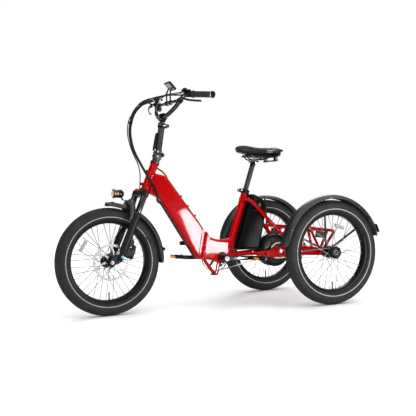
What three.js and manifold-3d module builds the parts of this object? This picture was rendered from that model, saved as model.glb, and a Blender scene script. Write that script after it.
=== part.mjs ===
// Adult electric tricycle with a folding step-through frame, a sprung fork and three 20 in wheels.
// Millimetres, +Z up, the front of the trike faces -Y and its left side is +X.
// Heights are measured from the ground. Lengths are laid out from the point midway between the
// axles and moved by CENTRE_Y at the end, so that the origin is under the middle of the trike.
import * as THREE from 'three';
import { mergeVertices } from 'three/addons/utils/BufferGeometryUtils.js';
import Module from 'manifold-3d';

const wasm = await Module();
wasm.setup();

// ---------- driving dimensions ----------
const WHEEL_R = 265; // 20 x 2.6 tyre on a 406 rim
const RIM_OUTER_R = 203;
const RIM_INNER_R = 188.5;
const WHEELBASE = 1072;
const TRACK = 695;
const CENTRE_Y = 13; // middle of the overall length, measured from midway between the axles
const FRONT_AXLE_Y = -WHEELBASE / 2;
const REAR_AXLE_Y = WHEELBASE / 2;
const WHEEL_FACETS = 32;

const HEAD_LEAN = 23.87; // steering axis, degrees back from upright
const HEAD_LOW = [0, -333.7, 605.2]; // bottom of the head tube, on the steering axis
const HEAD_LENGTH = 151;
const LEG_X = 66; // fork leg, out from the middle
const LEG_Y = -14; // fork leg, ahead of the steering axis
const AXLE_LOCAL = [0, -47.4, -393]; // front axle in the fork's own frame

const STEM_LEAN = 10.4;
const STEM_BASE = [0, -252, 787]; // foot of the folding stem column
const BAR_R = 11.2;
const BAR_CLAMP = [0, -224, 974];

const SEAT_ANGLE = 19.6; // seat tube, degrees back from upright
const SEAT_TOP = [0, 233, 581]; // top of the seat tube
const SEAT_TUBE_LENGTH = 265;

const CRANK_AXIS = [73, 245]; // y, z
const CRANK_LENGTH = 170;
const MOTOR_AXIS = [394, 265]; // y, z
const MOTOR_R = 86;
const RAIL_X = 240; // cargo rail, out from the middle
const GAP = 0.4; // clearance between pieces that touch on the real trike

// ---------- colours ----------
function finish(color, roughness, metalness) {
  return () => new THREE.MeshStandardMaterial({ color, roughness, metalness });
}

const red = finish(0xc00d14, 0.22, 0.1);
const blackPaint = finish(0x16171a, 0.35, 0.2);
const rubber = finish(0x202124, 0.8, 0);
const plastic = finish(0x1b1c1f, 0.5, 0);
const silver = finish(0xc9ccd1, 0.25, 1);
const steel = finish(0x8d9096, 0.3, 1);
const brass = finish(0xa98a4e, 0.35, 1);
const clearLens = finish(0xe8edf2, 0.1, 0);
const redLens = finish(0xb5121b, 0.2, 0);

// ---------- building helpers ----------
const group = new THREE.Group();
const v3 = (p) => new THREE.Vector3(...p);
const SIDES = { left: 1, right: -1 };

function toSolid(geometry) {
  const bare = geometry.clone();
  bare.deleteAttribute('normal');
  bare.deleteAttribute('uv');
  const merged = mergeVertices(bare, 1e-3);
  const position = merged.getAttribute('position');
  const index = merged.index.array;
  let volume = 0;
  const [a, b, c] = [new THREE.Vector3(), new THREE.Vector3(), new THREE.Vector3()];
  for (let i = 0; i < index.length; i += 3) {
    a.fromBufferAttribute(position, index[i]);
    b.fromBufferAttribute(position, index[i + 1]);
    c.fromBufferAttribute(position, index[i + 2]);
    volume += a.dot(b.cross(c));
  }
  const triVerts = new Uint32Array(index);
  if (volume < 0) {
    for (let i = 0; i < triVerts.length; i += 3) {
      [triVerts[i], triVerts[i + 1]] = [triVerts[i + 1], triVerts[i]];
    }
  }
  const vertProperties = new Float32Array(position.array);
  return new wasm.Manifold(new wasm.Mesh({ numProp: 3, vertProperties, triVerts }));
}

function toGeometry(solid) {
  const { vertProperties, triVerts } = solid.getMesh();
  const geometry = new THREE.BufferGeometry();
  geometry.setAttribute('position', new THREE.BufferAttribute(vertProperties, 3));
  geometry.setIndex(new THREE.BufferAttribute(triVerts, 1));
  return geometry;
}

const weld = (...parts) => toGeometry(parts.map(toSolid).reduce((sum, part) => sum.add(part)));

function carve(body, ...tools) {
  return toGeometry(tools.map(toSolid).reduce((left, tool) => left.subtract(tool), toSolid(body)));
}

function add(name, geometry, material) {
  const placed = toGeometry(toSolid(geometry)).translate(0, -CENTRE_Y, 0);
  placed.computeVertexNormals();
  const mesh = new THREE.Mesh(placed, material());
  mesh.name = name;
  group.add(mesh);
}

// A solid of revolution round the X axis, from [x, radius] pairs that close on themselves.
// The facets are turned so that a flat, and not a corner, is at the bottom.
function turned(profile, facets) {
  const points = [...profile, profile[0]].map(([x, r]) => new THREE.Vector2(r, x));
  return new THREE.LatheGeometry(points, facets, Math.PI / facets).rotateZ(-Math.PI / 2);
}

// A round bar between two points. It tapers when the far end is given a radius of its own.
function bar(from, to, radius, sides = 10, radiusTo = radius) {
  const [start, end] = [v3(from), v3(to)];
  const along = end.clone().sub(start);
  const geometry = new THREE.CylinderGeometry(radiusTo, radius, along.length(), sides);
  const turn = new THREE.Quaternion().setFromUnitVectors(new THREE.Vector3(0, 1, 0), along.normalize());
  return geometry.applyQuaternion(turn).translate(...start.add(end).multiplyScalar(0.5).toArray());
}

// A cutting tool for a round hole: its flats, and not its corners, are at the radius.
const drill = (from, to, radius, sides = 10) => bar(from, to, radius / Math.cos(Math.PI / sides), sides);

// A block with its edges eased, given by its size and its middle.
function block([w, d, h], [x, y, z], ease = 1.5) {
  if (!ease) {
    return new THREE.BoxGeometry(w, d, h).translate(x, y, z);
  }
  const e = Math.min(ease, w / 3, d / 3, h / 3);
  const shape = new THREE.Shape();
  const [hw, hd] = [w / 2 - e, d / 2 - e];
  shape.moveTo(-hw, -hd).lineTo(hw, -hd).lineTo(hw, hd).lineTo(-hw, hd).closePath();
  const options = { depth: h - 2 * e, bevelThickness: e, bevelSize: e, bevelSegments: 1 };
  return new THREE.ExtrudeGeometry(shape, options).translate(x, y, z - h / 2 + e);
}

// A profile in the YZ plane, drawn as [y, z] pairs, given a width across the trike.
function sidePlate(profile, width, x, ease = 2, holes = []) {
  const shape = new THREE.Shape(profile.map(([y, z]) => new THREE.Vector2(y, z)));
  for (const [y, z, r] of holes) {
    shape.holes.push(new THREE.Path().absarc(y, z, r, 0, 2 * Math.PI));
  }
  const bevel = {
    bevelEnabled: ease > 0,
    bevelThickness: ease,
    bevelSize: ease,
    bevelOffset: -ease,
    bevelSegments: 1,
  };
  const options = { depth: width - 2 * ease, curveSegments: 6, ...bevel };
  const geometry = new THREE.ExtrudeGeometry(shape, options);
  return geometry.rotateY(Math.PI / 2).rotateX(Math.PI / 2).translate(x - width / 2 + ease, 0, 0);
}

// A path of straight runs with rounded corners. It is sampled only where it bends.
class BentPath extends THREE.Curve {
  constructor(points, bend, cuts = 3) {
    super();
    const ends = points.map(v3);
    this.knots = [ends[0]];
    for (let i = 1; i < ends.length - 1; i += 1) {
      const [before, after] = [ends[i - 1], ends[i + 1]];
      const reach = Math.min(bend, 0.45 * ends[i].distanceTo(before), 0.45 * ends[i].distanceTo(after));
      const toward = (other) => other.clone().sub(ends[i]).setLength(reach).add(ends[i]);
      const corner = new THREE.QuadraticBezierCurve3(toward(before), ends[i], toward(after));
      this.knots.push(...corner.getPoints(cuts));
    }
    this.knots.push(ends[ends.length - 1]);
  }

  get steps() {
    return this.knots.length - 1;
  }

  getPoint(t, target = new THREE.Vector3()) {
    return target.copy(this.knots[Math.round(t * this.steps)]);
  }

  getPointAt(u, target) {
    return this.getPoint(u, target);
  }

  getTangentAt(u, target = new THREE.Vector3()) {
    const i = Math.round(u * this.steps);
    const before = this.knots[Math.max(i - 1, 0)];
    const after = this.knots[Math.min(i + 1, this.steps)];
    const here = this.knots[i];
    if (i > 0 && i < this.steps) {
      const arriving = here.clone().sub(before).normalize();
      const leaving = after.clone().sub(here).normalize();
      return target.copy(arriving.add(leaving).normalize());
    }
    return target.copy(after.clone().sub(before).normalize());
  }
}

function disc(radius, sides) {
  const corners = Array.from({ length: sides }, (_, i) => (2 * Math.PI * i) / sides);
  return new THREE.Shape(corners.map((a) => new THREE.Vector2(radius * Math.cos(a), radius * Math.sin(a))));
}

function pipe(points, radius, bend = 12, sides = 10, cuts = 3) {
  const path = new BentPath(points, bend, cuts);
  return new THREE.ExtrudeGeometry(disc(radius, sides), { steps: path.steps, extrudePath: path });
}

// A strap of rectangular section, wide across the trike.
function strap(points, width, thickness, bend = 10, cuts = 2) {
  const path = new BentPath(points, bend, cuts);
  const shape = new THREE.Shape();
  const [a, b] = [thickness / 2, width / 2];
  shape.moveTo(-a, -b).lineTo(a, -b).lineTo(a, b).lineTo(-a, b).closePath();
  return new THREE.ExtrudeGeometry(shape, { steps: path.steps, extrudePath: path });
}

const mirrored = (p, side) => [p[0] * side, p[1], p[2]];
const bothSides = (make) => Object.values(SIDES).map(make);
const between = (a, b, t) => v3(a).lerp(v3(b), t).toArray();

// A bar lying across the trike, given half its width and the [y, z] of its axis
function alongX(halfWidth, [y, z], radius, sides = 12) {
  return bar([-halfWidth, y, z], [halfWidth, y, z], radius, sides);
}

// Frames that lean back: pieces are made upright at the origin, then tipped and moved into place
function leaning(degrees, foot) {
  const angle = THREE.MathUtils.degToRad(-degrees);
  return (geometry) => geometry.rotateX(angle).translate(...foot);
}

const inFork = leaning(HEAD_LEAN, HEAD_LOW);
const inStem = leaning(STEM_LEAN, STEM_BASE);
const inSeat = leaning(SEAT_ANGLE, SEAT_TOP);

// ---------- wheels ----------
const flat = Math.cos(Math.PI / WHEEL_FACETS); // lets the flats, not the corners, be at the radius

const tyreProfile = [
  [-25, 203.5], [-33.5, 224], [-28, 251], [-9, 265], [9, 265], [28, 251], [33.5, 224], [25, 203.5],
].map(([x, r]) => [x, r / flat]);
const rimProfile = [[-21, RIM_OUTER_R], [-13, RIM_INNER_R], [13, RIM_INNER_R], [21, RIM_OUTER_R]];

const SPOKES = 28;
const SPOKE_R = 1.2;

// Spokes lean one way on one flange and the other way on the other, so they never meet.
function spokes(flangeX, holeR, rimR) {
  const lean = THREE.MathUtils.degToRad(50);
  const parts = [];
  for (let i = 0; i < SPOKES; i += 1) {
    const side = i % 2 ? 1 : -1;
    const angle = (2 * Math.PI * i) / SPOKES;
    const root = angle + side * lean;
    const from = [side * flangeX, holeR * Math.cos(root), holeR * Math.sin(root)];
    const to = [side * 3, rimR * Math.cos(angle), rimR * Math.sin(angle)];
    parts.push(bar(from, to, SPOKE_R, 3));
  }
  return parts;
}

const SPOKE_END_R = RIM_INNER_R * flat - GAP - 0.6;
const frontHub = turned([
  [-42, 6.2], [-42, 12], [-32, 14], [-31, 30], [-27, 30], [-26, 17],
  [26, 17], [27, 30], [31, 30], [32, 14], [42, 12], [42, 6.2],
], 12);
const rearHub = turned([
  [-34, 9.6], [-34, 22], [-29, 31], [-23, 31], [-21, 21], [21, 21], [23, 31], [30, 31],
  [33, 24], [35, 31.5], [41, 31.5], [45, 24], [46, 0], [38, 0], [38, 9.6],
], 12);

const frontHubWheel = weld(frontHub, ...spokes(29, 26, SPOKE_END_R));
const rearHubWheel = weld(rearHub, ...spokes(26, 27, SPOKE_END_R));

function wheel(name, hubWheel, x, y, side) {
  const place = (geometry) => geometry.clone().scale(side, 1, 1).translate(x, y, WHEEL_R);
  add(`${name}_tyre`, place(turned(tyreProfile, WHEEL_FACETS)), rubber);
  add(`${name}_rim`, place(turned(rimProfile, WHEEL_FACETS)), blackPaint);
  add(`${name}_hub`, place(hubWheel), blackPaint);
}

wheel('front', frontHubWheel, 0, FRONT_AXLE_Y, 1);
wheel('rear_left', rearHubWheel, TRACK / 2, REAR_AXLE_Y, 1);
wheel('rear_right', rearHubWheel, -TRACK / 2, REAR_AXLE_Y, -1);

// Brake rotor on the left of the front hub
const ROTOR_X = 46;
const rotorRing = turned([[-1, 77], [-1, 90], [1, 90], [1, 77]], 28);
const rotorBoss = turned([[-1, 13], [-1, 27], [1, 27], [1, 13]], 12);
const rotorArms = Array.from({ length: 6 }, (_, i) => {
  const [a, b] = [(i * Math.PI) / 3, (i * Math.PI) / 3 + 0.45];
  const onRotor = (r, angle) => [r * Math.cos(angle), r * Math.sin(angle)];
  const [root, tip] = [[a + 0.13, a - 0.13], [b - 0.04, b + 0.04]];
  return sidePlate([...root.map((t) => onRotor(24, t)), ...tip.map((t) => onRotor(79, t))], 1.6, 0, 0);
});
add('front_rotor', weld(rotorRing, rotorBoss, ...rotorArms).translate(ROTOR_X, FRONT_AXLE_Y, WHEEL_R), steel);

// ---------- fork ----------
const CROWN_LOW = -78; // heights in the fork's own frame
const LEG_TOP = -128;
const LEG_FOOT = -372;
const STANCHION_LOW = -250;

const crown = weld(
  block([2 * LEG_X, 40, 26], [0, -10, -24], 5),
  ...bothSides((side) => bar([side * LEG_X, LEG_Y, CROWN_LOW], [side * LEG_X, LEG_Y, -6], 18.5, 12)),
  ...bothSides((side) => bar([side * LEG_X, LEG_Y, STANCHION_LOW], [side * LEG_X, LEG_Y, -40], 15, 12)),
  bar([0, 0, -30], [0, 0, -4], 24, 12),
  bar([0, 0, -20], [0, 0, 170], 14.3, 12),
);
add('fork_crown', inFork(crown), blackPaint);

function lowerLeg(side) {
  const x = side * LEG_X;
  const dropout = [[-8, -352], [-28, -345], [-60, -380], [-60, -402], [-39, -408], [-6, -376]];
  return [
    bar([x, LEG_Y, LEG_TOP], [x, LEG_Y, LEG_TOP - 16], 20, 12),
    bar([x, LEG_Y, LEG_TOP - 14], [x, LEG_Y, -300], 18.5, 12),
    bar([x, LEG_Y, -300], [x, LEG_Y, LEG_FOOT], 18.5, 12, 13),
    sidePlate(dropout, 9, x - side * 6, 0),
  ];
}

const archPath = [
  [-LEG_X, -24, -168], [-LEG_X + 3, -46, -112], [-34, -52, -76],
  [34, -52, -76], [LEG_X - 3, -46, -112], [LEG_X, -24, -168],
];
const caliperMount = sidePlate([[-6, -250], [26, -256], [30, -330], [4, -348], [-6, -345]], 10, LEG_X - 4, 2);
const lowersBlank = weld(...lowerLeg(1), ...lowerLeg(-1), strap(archPath, 11, 30, 22, 2), caliperMount);
const stanchionBores = bothSides((side) => {
  const x = side * LEG_X;
  return drill([x, LEG_Y, -299], [x, LEG_Y, -100], 15 + GAP, 12);
});
const axleBore = drill([-90, AXLE_LOCAL[1], AXLE_LOCAL[2]], [90, AXLE_LOCAL[1], AXLE_LOCAL[2]], 5 + GAP, 10);
add('fork_lowers', inFork(carve(lowersBlank, ...stanchionBores, axleBore)), blackPaint);

const frontAxle = weld(
  bar([-80, 0, 0], [80, 0, 0], 5, 10),
  ...bothSides((side) => bar([side * 65.2, 0, 0], [side * 74, 0, 0], 9.5, 6)),
);
add('front_axle', frontAxle.translate(0, FRONT_AXLE_Y, WHEEL_R), silver);

add('preload_knob', inFork(bar([-LEG_X, LEG_Y, -5.6], [-LEG_X, LEG_Y, 7], 12, 12, 8)), redLens);

const caliper = carve(
  weld(
    block([24.4, 40, 56], [44.2, 30, -318], 4),
    block([14, 22, 24], [39, 40, -286], 3),
  ),
  block([5.6, 60, 90], [ROTOR_X, 4, -336], 0),
);
add('front_caliper', inFork(caliper), blackPaint);

// ---------- front mudguard with its wire stay ----------
// A blade bent round the wheel: an arched section swept along part of a circle.
function mudguard(radius, halfWidth, fromDeg, toDeg, steps) {
  const outer = [[-halfWidth, -14], [-halfWidth * 0.6, 4], [halfWidth * 0.6, 4], [halfWidth, -14]];
  const inner = outer.map(([x, lift]) => [x * 0.95, lift - 2.2]).reverse();
  const section = [...outer, ...inner];
  const rings = steps + 1;
  const positions = [];
  for (let i = 0; i < rings; i += 1) {
    const angle = THREE.MathUtils.degToRad(fromDeg + ((toDeg - fromDeg) * i) / steps);
    for (const [x, lift] of section) {
      positions.push(x, (radius + lift) * Math.cos(angle), (radius + lift) * Math.sin(angle));
    }
  }
  const n = section.length;
  const faces = [];
  for (let i = 0; i < steps; i += 1) {
    for (let j = 0; j < n; j += 1) {
      const [a, b] = [i * n + j, i * n + ((j + 1) % n)];
      faces.push(a, b, b + n, a, b + n, a + n);
    }
  }
  for (const [base, flip] of [[0, false], [steps * n, true]]) {
    const last = n - 1;
    for (let j = 0; j < n / 2 - 1; j += 1) {
      const quad = [base + j, base + j + 1, base + last - j - 1, base + last - j];
      const [p, q, r, s] = flip ? quad : quad.reverse();
      faces.push(p, q, r, p, r, s);
    }
  }
  const geometry = new THREE.BufferGeometry();
  geometry.setAttribute('position', new THREE.Float32BufferAttribute(positions, 3));
  geometry.setIndex(faces);
  return geometry;
}

const FRONT_GUARD_R = 288;
const stayHalf = [[62, -413, 406], [45, -262, 322], [38, -246, 307]];
const guardStay = [...stayHalf, ...stayHalf.map((p) => mirrored(p, -1)).reverse()];
const frontGuard = weld(
  mudguard(FRONT_GUARD_R, 38, -5, 90, 10).translate(0, FRONT_AXLE_Y, WHEEL_R),
  pipe(guardStay, 2.5, 10, 6, 2),
);
add('front_mudguard', frontGuard, plastic);

// ---------- headlight on the fork arch ----------
const lampBody = weld(
  bar([0, -447, 594], [0, -488, 597], 16, 12, 18),
  bar([0, -487, 597], [0, -499, 598], 21, 12),
  strap([[0, -452, 590], [0, -452, 566], [0, -428, 560]], 18, 4, 5),
);
add('headlight', lampBody, plastic);
add('headlight_lens', bar([0, -499.4, 598], [0, -505, 598.4], 18.5, 16, 12), clearLens);

// ---------- folding stem ----------
const STEM_PIN_LOCAL = [24, -2]; // fold pin behind the column's foot: y, z

const stubNeck = weld(
  inFork(bar([0, 0, HEAD_LENGTH + 0.5], [0, 0, HEAD_LENGTH + 9], 23, 12)),
  inFork(bar([0, 0, HEAD_LENGTH + 8], [0, 0, HEAD_LENGTH + 34], 19, 12)),
);
const stubTop = weld(
  sidePlate([[-24, 1.6], [14.5, 1.6], [14.5, -10], [12, -30], [-18, -30], [-27, -12]], 36, 0, 2),
  sidePlate([[6, 1.4], [15, 1.4], [22, 4], [24, -9], [10, -20]], 16, 0, 1),
  alongX(8, STEM_PIN_LOCAL, 8),
);
const steererBore = inFork(drill([0, 0, HEAD_LENGTH - 5], [0, 0, 171], 14.3 + GAP, 12));
const foldPinBore = inStem(alongX(30, STEM_PIN_LOCAL, 4.6));
add('stem_stub', carve(weld(stubNeck, inStem(stubTop)), foldPinBore, steererBore), blackPaint);

const COLUMN_TOP = 152;
const knuckle = [[4, 10], [4, 2.2], [15.5, 2.2], [18, -7], [24, -10], [31, -6], [32, 1], [28, 6], [18, 10]];
const columnShell = weld(
  sidePlate([[-24, 2.1], [15, 2.1], [15, 8], [6, 22], [-12, 22], [-24, 10]], 40, 0, 1.5),
  ...bothSides((side) => sidePlate(knuckle, 13, side * 15.2, 1)),
  alongX(26, STEM_PIN_LOCAL, 4),
  bar([0, -3, 18], [0, -3, COLUMN_TOP], 16.5, 12),
  bar([0, -3, 134], [0, -3, COLUMN_TOP + 8], 20, 12),
  block([24, 14, 20], [0, 19, 148], 2),
);
const postBore = drill([0, -3, 40], [0, -3, 200], 12.7 + GAP, 12);
const clampBolt = bar([-15, 21, 148], [15.6, 21, 148], 3.4, 8);
add('stem_column', inStem(weld(carve(columnShell, postBore), clampBolt)), blackPaint);

const latchPivot = [-25.5, 20];
const latchSide = [
  [-21, 16], [-26, 14], [-31, 22], [-30, 60], [-27, 104], [-23, 106], [-22.5, 60], [-21, 30],
];
const latchBlade = weld(
  sidePlate(latchSide, 22, 0, 1.5),
  alongX(11, latchPivot, 5.5),
);
add('stem_latch', inStem(carve(latchBlade, alongX(13, latchPivot, 3))), blackPaint);

// A quick-release lever: an eye on the clamp bolt's end and a blade that lies round the collar.
function releaseLever(side, boltY, z, collarR) {
  const eyeX = side * 23;
  const toward = -Math.sign(boltY);
  const bladeX = side * (collarR + 5);
  const blade = [
    [eyeX, boltY, z],
    [bladeX, boltY + toward * 14, z],
    [bladeX, boltY + toward * 34, z],
    [bladeX - side * 7, boltY + toward * 50, z],
  ];
  return weld(bar([eyeX, boltY, z - 8], [eyeX, boltY, z + 8], 7, 8), pipe(blade, 4, 10, 6, 2));
}
add('stem_release', inStem(releaseLever(1, 21, 148, 20)), silver);

const BAR_LOCAL = [-6, 189]; // handlebar clamp in the stem's frame: y, z
const postHead = weld(
  bar([0, -3, 62], [0, -3, 182], 12.7, 12),
  alongX(23, BAR_LOCAL, 20),
  block([46, 16, 14], [0, BAR_LOCAL[0] - 17, BAR_LOCAL[1]], 2),
);
const barBore = drill([-40, ...BAR_LOCAL], [40, ...BAR_LOCAL], BAR_R + GAP, 12);
add('stem_post', inStem(carve(postHead, barBore)), blackPaint);

// ---------- handlebar, grips and controls ----------
const GRIP_IN = [231, -155, 1065];
const GRIP_OUT = [344, -104, 1051];
const BAR_TIP = [350, -101.3, 1050.3];
const RISER_TOP = [164, -179, 1058];
const CONTROL_ROOT = [190, -173.5, 1070];
const barLeft = [[52, BAR_CLAMP[1], BAR_CLAMP[2]], [126, -205, 1010], RISER_TOP, CONTROL_ROOT, BAR_TIP];
const barPath = [...barLeft.map((p) => mirrored(p, -1)).reverse(), ...barLeft];
const crossbarEnd = [150, -186, 1046];
const handlebar = weld(
  pipe(barPath, BAR_R, 26, 10, 2),
  bar(crossbarEnd, mirrored(crossbarEnd, -1), 8, 8),
);
add('handlebar', handlebar, blackPaint);

for (const [name, side] of Object.entries(SIDES)) {
  const [inner, outer] = [mirrored(GRIP_IN, side), mirrored(GRIP_OUT, side)];
  const shell = weld(
    bar(inner, outer, 15, 10),
    bar(inner, between(inner, outer, 0.06), 18, 10),
    bar(between(inner, outer, 0.94), outer, 17, 10),
  );
  const bore = drill(between(inner, outer, -0.2), between(inner, outer, 1.2), BAR_R + GAP);
  add(`grip_${name}`, carve(shell, bore), rubber);
}

// The controls sit on the bar between its last bend and the grip
const alongBar = (t) => between(CONTROL_ROOT, GRIP_IN, t);
const LEVER_PIVOT = [207, -200, 1052];
const barHole = drill(alongBar(-0.9), alongBar(1.6), BAR_R + GAP);
const clampRing = bar(alongBar(0.34), alongBar(0.9), 15.5, 10);
const perch = weld(
  block([20, 40, 7], [LEVER_PIVOT[0] + 6, -184, LEVER_PIVOT[2] + 9.5], 2),
  block([20, 22, 20], [LEVER_PIVOT[0] + 8, -173, 1061], 3),
  bar([LEVER_PIVOT[0], LEVER_PIVOT[1], 1044], [LEVER_PIVOT[0], LEVER_PIVOT[1], 1062], 2.6, 8),
);
const podBridge = block([46, 16, 12], [204, -168, 1084], 3);
const buttonPocket = drill([184, -186.5, 1087], [184, -200, 1087], 5 + GAP, 10);
const buttonBase = carve(weld(podBridge, block([26, 22, 20], [184, -178, 1088], 4)), buttonPocket);
const throttleBase = weld(podBridge, block([34, 26, 24], [186, -176, 1090], 6));

function control(side, pod) {
  const body = carve(weld(clampRing, perch, pod), barHole);
  return body.scale(side, 1, 1);
}
add('control_left', control(1, buttonBase), plastic);
add('control_right', control(-1, throttleBase), plastic);

const leverBlade = [LEVER_PIVOT, [226, -204, 1046], [262, -196, 1034], [330, -160, 1022]];
const leverShape = carve(
  weld(pipe(leverBlade, 5, 14, 8, 2), bar([207, -200, 1047], [207, -200, 1055.4], 8, 10)),
  drill([207, -200, 1040], [207, -200, 1066], 2.6 + GAP, 8),
);
for (const [name, side] of Object.entries(SIDES)) {
  add(`brake_lever_${name}`, leverShape.clone().scale(side, 1, 1), blackPaint);
}
add('horn_button', bar([184, -188.9, 1087], [184, -193, 1087], 5, 10), redLens);
const throttle = weld(
  bar([-168.5, -178, 1090], [-163, -178, 1090], 8, 10),
  pipe([[-165.8, -178, 1090], [-165.8, -152, 1083], [-188, -151, 1081]], 2.8, 6, 6),
);
add('throttle_lever', throttle, plastic);

const displayTilt = THREE.MathUtils.degToRad(-47);
const displayCase = block([70, 54, 12], [0, 0, 0], 3).rotateX(displayTilt).translate(0, -176, 1131);
const armPath = [[24, -186, 1056], [24, -188, 1090], [20, -176, 1126]];
const displayArms = bothSides((side) => strap(armPath.map((p) => mirrored(p, side)), 8, 7, 14));
const displayRings = bothSides((side) => bar([side * 18, -186, 1046], [side * 30, -186, 1046], 12.5, 10));
const crossbarHole = drill([-60, -186, 1046], [60, -186, 1046], 8 + GAP, 8);
add('display', carve(weld(displayCase, ...displayArms, ...displayRings), crossbarHole), plastic);

// ---------- front frame: head tube, main beam and its half of the folding hinge ----------
const HINGE_LOW = [0, -41, 249]; // bottom and top of the line where the two halves meet
const HINGE_TOP = [0, -12.5, 385];
const BEAM_WIDTH = 60;
const HINGE_X = BEAM_WIDTH / 2 + 9; // pin on the left side
const LATCH_X = -BEAM_WIDTH / 2 - 9; // latch on the right side
const onHinge = (x, t, behind = 0) => {
  const [, y, z] = between(HINGE_LOW, HINGE_TOP, t);
  return [x, y + 0.979 * behind, z - 0.205 * behind];
};
const joined = (behind) => [onHinge(0, 1, behind), onHinge(0, 0, behind)].map(([, y, z]) => [y, z]);

// A stretch of hinge barrel with the lug that holds it
function barrel(x, from, to, behind) {
  const mid = onHinge((x + Math.sign(x) * (BEAM_WIDTH / 2 - 3)) / 2, (from + to) / 2, behind);
  const length = 139 * (to - from);
  const lug = block([14, 8, length], [0, 0, 0], 0);
  const lean = THREE.MathUtils.degToRad(-11.8);
  return [bar(onHinge(x, from), onHinge(x, to), 7.5, 10), lug.rotateX(lean).translate(...mid)];
}

const beamSide = [
  [-284, 696], [-228, 680], [-204, 656], [-48, 440],
  ...joined(-0.3),
  [-66, 252], [-258, 566], [-320, 598], [-300, 640],
];
const hingePlateFront = [[-34, 400], ...joined(-0.3), [-62, 252]];
const gusset = [[0, -276, 724], [0, -242, 708], [0, -214, 680], [0, -202, 648]];
const headRing = (s) => inFork(bar([0, 0, s], [0, 0, s + 9], 23, 12));
const carrierPeg = (side, s) => inFork(bar([side * 11, -8, s], [side * 12, -29, s], 6, 6));
const cableBoss = (t) => bar([0, -218 + 207 * t, 668 - 283 * t], [0, -206 + 207 * t, 677 - 283 * t], 5, 6);
const beam = weld(
  sidePlate(beamSide, BEAM_WIDTH - 6, 0, 7),
  sidePlate(hingePlateFront, BEAM_WIDTH, 0, 2),
  inFork(bar([0, 0, 0], [0, 0, HEAD_LENGTH], 20, 12)),
  ...[0.3, HEAD_LENGTH - 9.3].map(headRing),
  ...[28, 96].flatMap((s) => bothSides((side) => carrierPeg(side, s))),
  pipe(gusset, 4.5, 16, 6, 1),
  ...[0.36, 0.54, 0.72].map(cableBoss),
  ...barrel(HINGE_X, 0.03, 0.25, -4.6),
  ...barrel(HINGE_X, 0.51, 0.73, -4.6),
  ...barrel(LATCH_X, 0.5, 0.72, -4.6),
);
const headBore = inFork(bar([0, 0, -20], [0, 0, HEAD_LENGTH + 20], 16, 12));
const latchHole = bar(onHinge(LATCH_X, -0.1), onHinge(LATCH_X, 1.1), 3.2, 8);
const hingePin = bar(onHinge(HINGE_X, 0.01), onHinge(HINGE_X, 0.99), 3.6, 10);
add('front_frame', weld(carve(beam, headBore, latchHole), hingePin), red);

// Latch: two eyes on a pin, and a handle that lies forward along the beam
const latchEye = (from, to) => bar(onHinge(LATCH_X, from), onHinge(LATCH_X, to), 7.5, 8);
const latchArm = (t) => bar(onHinge(LATCH_X - 4, t), onHinge(LATCH_X - 10, t + (0.6 - t) * 0.3, -14), 4, 6);
const latchGrip = [onHinge(LATCH_X - 10, 0.6, -14), [LATCH_X - 12, -74, 331], [LATCH_X - 10, -128, 329]];
const frameLatch = weld(
  latchEye(0.4, 0.49),
  latchEye(0.73, 0.82),
  bar(onHinge(LATCH_X, 0.4), onHinge(LATCH_X, 0.82), 2.8, 8),
  ...[0.45, 0.775].map(latchArm),
  bar(onHinge(LATCH_X - 10, 0.47, -14), onHinge(LATCH_X - 10, 0.755, -14), 4, 6),
  pipe(latchGrip, 8, 12, 8, 2),
);
add('frame_latch', frameLatch, plastic);

// ---------- rear frame: short beam, bottom bracket, seat tube, stays ----------
const [CRANK_Y, CRANK_Z] = CRANK_AXIS;
const rearSide = [
  ...joined(0.3).reverse(),
  [8, 358], [50, 343], [98, 338], [136, 345], [158, 332], [134, 262], [100, 232], [CRANK_Y, 218], [30, 232],
];
const hingePlateRear = [...joined(0.3).reverse(), [6, 360], [-18, 247]];
const PLATE_X = 72; // dropout plate, out from the middle
const plateSide = [
  [258, 246], [262, 268], [300, 270], [340, 273], [370, 284], [410, 286], [450, 280],
  [468, 302], [490, 300], [492, 242], [440, 233], [390, 229], [330, 236],
];
const seatStay = [[16, 214, 547], [50, 240, 539], [PLATE_X - 5, 472, 292]];
const chainStay = [[18, 92, 256], [35, 140, 259], [PLATE_X - 3, 272, 260]];
const footLoop = [[14, -24, 250], [14, 38, 163], [14, 50, 158], [14, 68, 226]];
const rearBlank = weld(
  sidePlate(rearSide, BEAM_WIDTH - 4, 0, 7),
  sidePlate(hingePlateRear, BEAM_WIDTH, 0, 2),
  alongX(35, CRANK_AXIS, 27, 16),
  inSeat(bar([0, 0, -SEAT_TUBE_LENGTH], [0, 0, 8], 18.5, 12)),
  ...bothSides((side) => weld(
    pipe(seatStay.map((p) => mirrored(p, side)), 9.5, 26, 8, 2),
    pipe(chainStay.map((p) => mirrored(p, side)), 9, 20, 8, 2),
    sidePlate(plateSide, 8, side * PLATE_X, 0, [[308, 254, 6]]),
    pipe(footLoop.map((p) => mirrored(p, side)), 4.5, 9, 6, 1),
  )),
  bar([-15, 44, 161], [15, 44, 161], 4.5, 6),
  block([38, 22, 7], [0, 34, 160], 1.5),
  ...barrel(HINGE_X, 0.26, 0.5, 4.6),
  ...barrel(HINGE_X, 0.74, 0.97, 4.6),
);
const postSocket = inSeat(drill([0, 0, -230], [0, 0, 20], 13.5 + GAP, 12));
const crankBore = alongX(60, CRANK_AXIS, 9, 12);
const motorSlot = alongX(100, MOTOR_AXIS, 6.5, 10);
const pinHole = bar(onHinge(HINGE_X, -0.1), onHinge(HINGE_X, 1.1), 4, 10);
add('rear_frame', carve(rearBlank, postSocket, crankBore, motorSlot, pinHole), red);

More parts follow.
